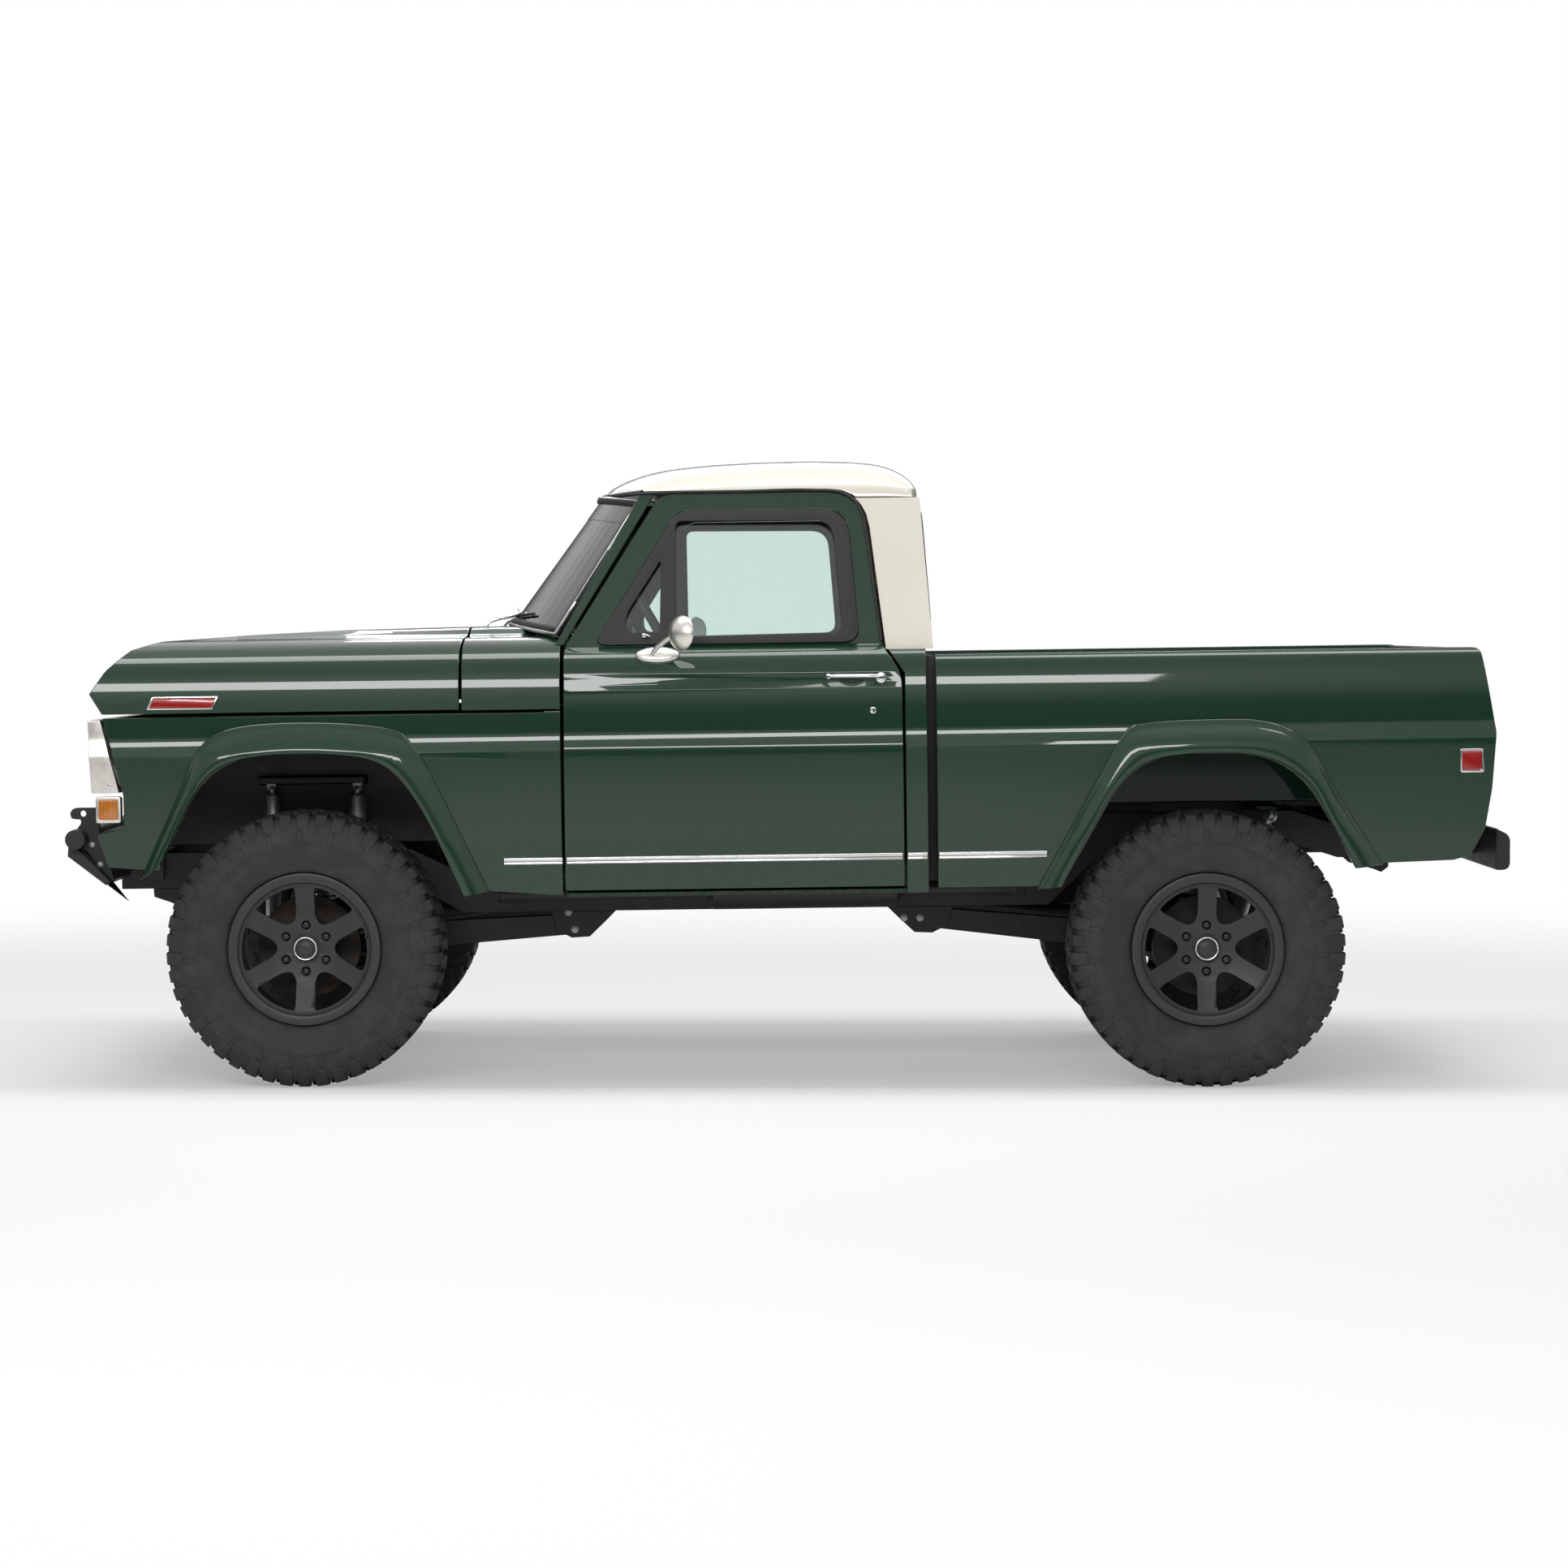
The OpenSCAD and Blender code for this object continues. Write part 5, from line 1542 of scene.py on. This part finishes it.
def bush(name, places):
    parts = [spun("bush", [(5, -19), (12, -19), (15, -14), (11.2, -12), (11.2, 12), (15, 14), (12, 19),
                           (5, 19)], "Y", (0, 0), 20)
             for _ in places]
    for part, place in zip(parts, places):
        eased(part, 1, 1, 40, 50)
        part.data.transform(Matrix.Translation(Vector(place) * MM))
    return joined(name, parts)


DAMPERS = [((-1715, -520, 471), (-1719, -520, 966)), ((-1430, -520, 471), (-1434, -520, 966)),
           ((1476, -585, 467), (1606, -520, 860))]
sets = [damper("damper", low, high) for low, high in DAMPERS]
both_sides(joined("dampers", sets), bare_steel, "chassis", "steel", "shock_absorbers")
both_sides(bush("damper_bushes", [p for pair in DAMPERS for p in pair]), seal_rubber, "chassis", "rubber")
print("springs and dampers on both sides")

# %% [markdown]
# ## Engine
# The hood opens, so the engine is there: a V8 block with two heads, rocker covers, an intake with a round
# air cleaner, a fan and a radiator with its hoses.

# %% Engine pieces
block = plate("block", [(-170, 700), (170, 700), (200, 820), (245, 960), (150, 1010), (-150, 1010),
                        (-245, 960), (-200, 820)],
              -1790, -1180, "X")
eased(block, 14, 3, 20, 40)
pan = eased(plate("pan", [(-130, 672), (130, 672), (165, 706), (-165, 706)], -1780, -1200, "X"), 10, 3, 20,
            40)
bell = eased(cylinder("bell", (-1190, 0, 800), (-1162, 0, 800), 170, 40, 150), 6, 2)
placed(tipped(joined("engine_casting", [block, pan, bell])), cast_iron, "chassis", "cast", "engine_block")
heads = []
for s in (-1, 1):
    head = plate("head", [(s * 130, 985), (s * 238, 930), (s * 246, 1000), (s * 150, 1052)], -1770, -1200,
                 "X")
    heads.append(eased(outwards(head), 8, 2, 25, 40))
    for i in range(4):
        x = -1700 + i * 145
        heads.append(eased(cylinder("port", (x, s * 216, 952), (x, s * 244, 925), 26, 20, 24), 3, 2))
placed(tipped(joined("cylinder_heads", heads)), cast_iron, "chassis", "cast")
covers = []
for s in (-1, 1):
    cover = plate("cover", [(s * 142, 1046), (s * 236, 998), (s * 247, 1052), (s * 228, 1090),
                            (s * 182, 1104)], -1755, -1215, "X")
    covers.append(eased(outwards(cover), 16, 4, 20, 40))
    covers.append(eased(cylinder("filler", (-1690, s * 196, 1098), (-1690, s * 204, 1122), 22, 24, 20), 3, 2))
placed(tipped(joined("rocker_covers", covers)), chrome, "chassis", "cast")
intake = eased(plate("intake", [(-125, 1010), (125, 1010), (80, 1070), (-80, 1070)], -1720, -1240, "X"), 12,
               3, 20, 40)
carb = eased(plate("carb", [(-62, 1068), (62, 1068), (62, 1096), (-62, 1096)], -1560, -1420, "X"), 8, 2, 30,
             40)
placed(tipped(joined("intake", [intake, carb])), lamp_metal, "chassis", "cast")
cleaner = spun("air_cleaner", [(0.01, 1150), (20, 1149), (60, 1146), (150, 1144), (172, 1140), (178, 1130),
                               (176, 1104), (168, 1096), (90, 1094), (0.01, 1094)], "Z", (-1490, 0), 56)
eased(cleaner, 2.5, 2, 30, 40)
nut = eased(cylinder("nut", (-1490, 0, 1148), (-1490, 0, 1162), 9, 6, 7), 1, 2)
placed(tipped(joined("air_cleaner", [cleaner, nut])), black_plastic, "chassis", "cast")
fan = []
for i in range(6):
    blade = plate("blade", soft([(-34, 60), (34, 60), (52, 205), (-40, 205)], [6, 6, 24, 24]), -1.5, 1.5, "X")
    eased(blade, 0.8, 1, 40)
    blade.data.transform(Matrix.Rotation(math.radians(60 * i), 4, "X")
                         @ Matrix.Rotation(math.radians(28), 4, "Z"))
    fan.append(blade)
fan.append(eased(spun("hub", [(0.01, -30), (46, -28), (70, -12), (72, 12), (52, 34), (0.01, 40)], "X",
                      (0, 0), 32), 2, 2))
fan = joined("fan", fan)
fan.data.transform(Matrix.Translation(Vector((-1905, 0, 930)) * MM))
shaft = eased(cylinder("shaft", (-1880, 0, 930), (-1785, 0, 930), 24, 24), 1.5, 2)
pulleys = [spun("pulley", [(0.01, x - 16), (r, x - 16), (r - 9, x - 2), (r, x + 12), (0.01, x + 12)], "X",
                (y, z), 40)
           for x, y, z, r in ((-1822, 0, 930, 68), (-1822, 0, 790, 78), (-1822, 190, 980, 44))]
placed(tipped(joined("fan", [fan, shaft] + [eased(p, 1.5, 2, 40) for p in pulleys])), bare_steel, "chassis",
       "steel")
belt = tube("fan_belt", [(-1824, 68, 950), (-1824, 30, 996), (-1824, -40, 986), (-1824, -66, 930),
                         (-1824, -76, 800), (-1824, -40, 722), (-1824, 40, 722), (-1824, 80, 800),
                         (-1824, 76, 880)], 6, 8, True)
placed(tipped(belt), seal_rubber, "chassis", "rubber")
hoses = [tube("hose", [(-2042, 150, 1150), (-2000, 150, 1158), (-1930, 110, 1130), (-1850, 60, 1080),
                       (-1770, 40, 1062)], 21, 16),
         tube("hose", [(-2042, -180, 870), (-1990, -180, 862), (-1930, -190, 880), (-1830, -170, 900)], 21,
              16)]
placed(tipped(joined("hoses", hoses)), seal_rubber, "chassis", "rubber")
fins = []
for i in range(24):
    z = 866 + i * 12.5
    fins.append(plate("fin", [(-2039, z), (-2033, z), (-2033, z + 3), (-2039, z + 3)], -380, 380))
tank = eased(plate("tank", [(-2084, 1176), (-2034, 1176), (-2034, 1204), (-2084, 1204)], -392, 392), 8, 3, 40)
cap = eased(spun("cap", [(0.01, 1222), (26, 1221), (32, 1216), (32, 1204), (0.01, 1204)], "Z", (-2058, 60),
                 28), 1.5, 2, 40)
placed(tipped(joined("radiator_core", [tank, cap] + fins)), black_plastic, "chassis", "cast")
battery = eased(plate("battery", [(-2000, 1010), (-1760, 1010), (-1760, 1175), (-2000, 1175)], 290, 455), 6,
                3, 40)
posts = [eased(cylinder("post", (x, 330, 1174), (x, 330, 1192), 9, 16, 8), 1.5, 2) for x in (-1960, -1800)]
shelf = eased(plate("shelf", [(-2010, 1000), (-1750, 1000), (-1750, 1010), (-2010, 1010)], 285, 470), 2, 1)
placed(tipped(joined("battery", [battery, shelf] + posts)), black_plastic, "chassis", "black_steel")
print("engine bay filled")

# %% Exhaust
muffler = []
for s in (-1, 1):
    muffler.append(eased(cylinder("can", (-246, s * 550, 612), (376, s * 550, 612), 60, 40), 9, 3))
    muffler.append(cylinder("front", (-958, s * 550, 612), (-240, s * 550, 612), 27, 24))
    muffler.append(eased(cylinder("rear", (370, s * 550, 612), (798, s * 550, 612), 27, 24), 2, 2))
    for x in (-940, -270, 400, 760):
        clamp = eased(cylinder("clamp", (x - 9, s * 550, 612), (x + 9, s * 550, 612), 31, 24), 2, 2)
        muffler += [clamp, hex_bolt("bolt", (x, s * 550, 642), (0, 0, 1), 6)]
placed(tipped(joined("exhaust_pipes", muffler)), frame_black, "chassis", "steel", "exhaust")

# %% [markdown]
# ## Between cab and bed
# The gap behind the cab is closed near the skin by a black rubber sheet, which is painted shade: it makes the
# gap look dark.

# %% Dark sheet in the gap
# A black sheet that stands in for the shade in the gap between cab and bed: painted shade.
strip = plate("gap_shade_sheet", [(459, 660), (495, 660), (495, 1386), (459, 1386)], -906, -896)
eased(strip, 2, 2, 40)
both_sides(tipped(strip), seal_rubber, "chassis", "rubber")
print("gap strips")

# %% [markdown]
# ## Rear window and windshield header
# The rear window sits in a fat black rubber. Above the windshield a narrow header closes the wedge
# between the bowed glass and the front of the roof.

# %% Rear window rubber and header
rear_line = soft([(-606, 1494), (606, 1494), (566, 1856), (-566, 1856)], [64, 64, 64, 64], 6)
rear_path = [(486 - (z - 1412) * 33 / 478, y, z) for y, z in rear_line]
placed(tipped(tube("rear_window_rubber", rear_path, 14, 12, True, False)), seal_rubber, "chassis", "rubber")
rows = []
for f in (0.0, 0.35, 0.7, 1.0):
    row = []
    for i in range(-16, 17):
        t = i / 16
        a = screen(t * 0.93, 1929 - 32 * (t * 0.93) ** 2, 2)
        y = t * 706
        b = (-606 + 168 * (y / 760) ** 2 + 8, y, 1932)
        row.append([a[k] + (b[k] - a[k]) * f + (4 * math.sin(math.pi * f) if k == 2 else 0)
                    for k in range(3)])
    rows.append(row)
header = outwards(sheet("windshield_header", rows))
applied(header, "SOLIDIFY", thickness=0.004, offset=0)
eased(header, 1, 1, 60, 40)
placed(tipped(header), green_paint, "chassis", "green_paint")
print("rear window rubber and header")

# %% [markdown]
# ## Seat
# The bench has two long cushions of vinyl over foam. Each starts as a slightly small block with rounded
# corners. It is remeshed, and then blown up from within as a sheet of cloth, so that its faces crown
# and its sides pull in between the corners. Sewn channels are pressed in afterwards, because the
# remesh would have erased them.

# %% Cushions
def blown_up(piece, most):
    """Swells the closed shape with cloth pressure; no point moves further than `most` millimetres."""
    cloth = piece.modifiers.new("cloth", "CLOTH")
    cloth.settings.use_pressure = True
    cloth.settings.uniform_pressure_force = 4
    cloth.settings.tension_stiffness = cloth.settings.compression_stiffness = 12
    cloth.settings.bending_stiffness = 0.8
    cloth.settings.effector_weights.gravity = 0
    cloth.collision_settings.use_collision = False
    cloth.point_cache.frame_start, cloth.point_cache.frame_end = 1, 20
    before = [v.co.copy() for v in piece.data.vertices]
    for frame_number in range(1, 21):
        bpy.context.scene.frame_set(frame_number)
    solved = piece.evaluated_get(bpy.context.evaluated_depsgraph_get())
    after = [v.co.copy() for v in solved.data.vertices]
    piece.modifiers.remove(cloth)
    for v, a, b in zip(piece.data.vertices, before, after):
        move = b - a
        v.co = a + (move if move.length < most * MM else move.normalized() * most * MM)
    bpy.context.scene.frame_set(1)


def cushion(name, outline, cuts, wide, face, channels):
    """face is the [x, z] direction that the sitter's side looks in."""
    piece = plate(name, soft(outline, cuts, 6), -wide, wide)
    eased(piece, 34, 4, 50)
    applied(piece, "REMESH", mode="VOXEL", voxel_size=0.012)
    blown_up(piece, 13)
    applied(piece, "SUBSURF", levels=1, render_levels=1)
    inner = Vector((face[0], 0, face[1])).normalized()
    facing = [v.normal.dot(inner) for v in piece.data.vertices]
    for v, looks in zip(piece.data.vertices, facing):
        y = v.co.y / MM
        near = min(abs(y - c) for c in channels)
        on_face = max(0.0, looks - 0.35) / 0.65
        v.co -= inner * (7 * MM * math.exp(-(near / 9) ** 2) * min(on_face * 1.6, 1))
    select_only(piece)
    bpy.ops.object.shade_smooth()
    placed(tipped(piece), seat_vinyl, "chassis", "vinyl", *(["bench_seat"] if name == "seat_cushion" else []))
    return piece


channels = [-600 + 100 * i for i in range(13)]
base = cushion("seat_cushion", [(-340, 880), (170, 850), (186, 1062), (-318, 1100)], [40, 20, 50, 70], 682,
               (0.05, 1), channels)
back = cushion("seat_back", [(166, 1098), (318, 1098), (386, 1390), (300, 1396)], [40, 20, 44, 44], 682,
               (-1, 0.25), channels)
rails = [eased(plate("rail", [(-320, 717), (160, 717), (150, 742), (-310, 742)], y - 18, y + 18), 3, 2)
         for y in (-540, 540)]
legs = [eased(plate("leg", [(x, 740), (x + 26, 740), (x + 20, 852), (x + 4, 852)], y - 16, y + 16), 3, 2)
        for x in (-280, 110) for y in (-540, 540)]
placed(tipped(joined("seat_frame", rails + legs)), frame_black, "chassis", "black_steel")
print("seat:", len(base.data.polygons) + len(back.data.polygons), "faces")

# %% [markdown]
# ## Driver's place
# The steering wheel is spun about its own column, with a thin rim, three spokes and a horn ring. It is made
# flat at the origin and then set on the column.

# %% Steering wheel and column
COLUMN = Matrix.Translation(Vector((-389, -390, 1432)) * MM) @ Matrix.Rotation(math.radians(61), 4, "Y")
rim_profile = [(188 + 12 * math.cos(a * math.pi / 6), 12 * math.sin(a * math.pi / 6)) for a in range(12)]
rim = spun("rim", rim_profile, "Z", (0, 0), 72)
hub = eased(spun("hub", [(0.01, -30), (34, -30), (38, -20), (36, 0), (26, 6), (0.01, 7)], "Z", (0, 0), 40),
            2, 2, 30, 50)
select_only(rim)
bpy.ops.object.shade_smooth()
spokes = []
for angle in (30, 150, 270):
    spoke = plate("spoke", [(22, -15), (60, -11), (182, -9), (182, 9), (60, 11), (22, 15)], -10, -4, "Z")
    eased(spoke, 2.2, 3, 40)
    spoke.data.transform(Matrix.Rotation(math.radians(angle), 4, "Z"))
    spokes.append(spoke)
wheel = joined("steering_wheel_rim", [rim, hub] + spokes)
wheel.data.transform(COLUMN)
placed(tipped(wheel), black_plastic, "steering_wheel", "black_plastic", "steering_wheel")
horn = tube("horn_ring", [(96 * math.cos(a * math.pi / 12), 96 * math.sin(a * math.pi / 12), -1)
                          for a in range(-1, 14)], 3.5, 8)
button = eased(spun("button", [(0.01, 6), (24, 6), (22, 11), (12, 14), (0.01, 14.5)], "Z", (0, 0), 32), 1, 1,
               40, 60)
horn = joined("horn_ring", [horn, button])
horn.data.transform(COLUMN)
placed(tipped(horn), chrome, "steering_wheel", "chrome")
panel("steering_column", black_plastic, "black_plastic", 3, 2, False)
lever = tube("lever", [(-470, -366, 1392), (-478, -335, 1420), (-496, -322, 1470), (-509, -320, 1500)], 5, 10)
knob = spun("knob", [(0.01, 16), (9, 14), (15, 6), (15.5, -3), (10, -13), (5, -17), (0.01, -17)], "Z",
            (0, 0), 24)
eased(knob, 1, 1, 60, 70)
knob.data.transform(Matrix.Translation(Vector((-511, -320, 1508)) * MM))
signal = tube("signal", [(-455, -414, 1398), (-456, -440, 1404), (-452, -500, 1418)], 4, 8)
placed(tipped(joined("column_levers", [lever, signal])), stainless, "chassis", "chrome")
placed(tipped(knob), black_plastic, "chassis", "black_plastic")

# %% Dashboard
panel("dashboard", dash_plastic, "black_plastic", 9, 4, False)
lean = Matrix.Rotation(math.radians(86), 4, "Y")
face = Matrix.Translation(Vector((-584, -390, 1352)) * MM) @ lean @ Matrix.Rotation(math.radians(90), 4, "Z")
dials, rims = [], []
for x, r in ((-118, 34), (0, 58), (118, 34)):
    ring = eased(spun("ring", [(r, 0), (r + 6, 2), (r + 8, 8), (r + 3, 11), (r - 2, 6)], "Z", (x, 0), 36),
                 0.6, 1, 40, 60)
    dial = eased(cylinder("dial", (x, 0, 0), (x, 0, 5), r, 36), 0.6, 1)
    needle = plate("needle", [(x - 3, -8), (x + 3, -8), (x + 1, r - 8), (x - 1, r - 8)], 6, 7.5, "Z")
    rims += [ring, eased(needle, 0.4, 1)]
    dials.append(dial)
for i in range(5):
    rims.append(eased(spun("knob", [(0.01, 22), (9, 22), (11, 16), (11, 4), (7, 0), (0.01, 0)], "Z",
                           (-150 + i * 75, -88), 20), 1, 1, 40))
dials, rims = joined("gauge_faces", dials), joined("gauge_rims", rims)
for piece in (dials, rims):
    piece.data.transform(face)
placed(tipped(dials), black_plastic, "chassis", "black_plastic")
placed(tipped(rims), stainless, "chassis", "chrome")
door = plate("glove_box", soft([(330, 1240), (640, 1240), (640, 1330), (330, 1330)], [14, 14, 14, 14]), -592,
             -571, "X")
eased(door, 4, 3, 40)
radio = plate("radio", soft([(-80, 1290), (130, 1290), (130, 1350), (-80, 1350)], [8, 8, 8, 8]), -580, -568,
              "X")
eased(radio, 3, 2, 40)
placed(tipped(joined("glove_box", [door])), dash_plastic, "chassis", "black_plastic")
placed(tipped(radio), stainless, "chassis", "chrome")

pedals = []
for y, z, wide in ((-500, 810, 38), (-400, 810, 38), (-300, 790, 26)):
    pedals.append(eased(plate("pad", [(-690, z - 34), (-680, z - 34), (-664, z + 30), (-674, z + 30)],
                              y - wide, y + wide), 4, 3, 40))
    pedals.append(tube("stem", [(-682, y, z), (-712, y, z + 60), (-722, y, z + 180), (-700, y, z + 330),
                                (-680, y, z + 380)], 7, 8))
placed(tipped(joined("pedals", pedals)), black_plastic, "chassis", "black_plastic")
shifters = []
for y, top in ((-30, 1190), (70, 1120)):
    shifters.append(tube("stick", [(-520, y, 886), (-512, y, 980), (-476, y - 10, 1080),
                                   (-452, y - 14, top)], 7, 10))
    ball = spun("ball", [(0.01, 20), (12, 17), (20, 6), (20, -6), (12, -17), (0.01, -20)], "Z", (0, 0), 24)
    eased(ball, 2, 1, 60, 70)
    ball.data.transform(Matrix.Translation(Vector((-452, y - 14, top + 8)) * MM))
    boot = spun("boot", [(0.01, 930), (14, 928), (24, 915), (30, 905), (52, 896), (60, 889), (0.01, 889)],
                "Z", (-518, y), 28)
    shifters += [ball, eased(boot, 1.5, 1, 40, 60)]
placed(tipped(joined("gear_levers", shifters)), black_plastic, "chassis", "black_plastic")
inside_mirror = eased(plate("glass", soft([(-110, 1838), (110, 1838), (118, 1886), (-118, 1886)],
                                          [18, 18, 18, 18]), -548, -536, "X"), 4, 3, 40)
stem = tube("stem", [(-548, 0, 1870), (-570, 0, 1895), (-572, 0, 1926)], 5, 8)
placed(tipped(joined("inside_mirror", [inside_mirror, stem])), black_plastic, "chassis", "black_plastic")

# %% Door trim inside
card = plate("door_card", soft([(-640, 700), (340, 700), (330, 1330), (-640, 1330)], [30, 30, 30, 30]), -912,
             -904)
eased(card, 3, 3, 40)
rest = eased(plate("rest", soft([(-120, 1090), (210, 1090), (200, 1145), (-120, 1145)], [20, 20, 20, 20]),
                   -905, -850), 12, 4, 40)
both_sides(tipped(joined("door_card", [card, rest])), seat_vinyl, "door_SIDE", "vinyl")
crank = joined("window_crank", [eased(cylinder("boss", (-200, -905, 1210), (-200, -882, 1210), 18, 24, 14),
                                      2, 2),
                                eased(plate("arm", [(-206, 1204), (-96, 1196), (-96, 1208), (-206, 1216)],
                                            -888, -880), 2, 2),
                                eased(cylinder("grip", (-102, -884, 1202), (-102, -852, 1202), 9, 20, 11), 2,
                                      2)])
both_sides(tipped(crank), chrome, "door_SIDE", "chrome")
print("driver's place ready")
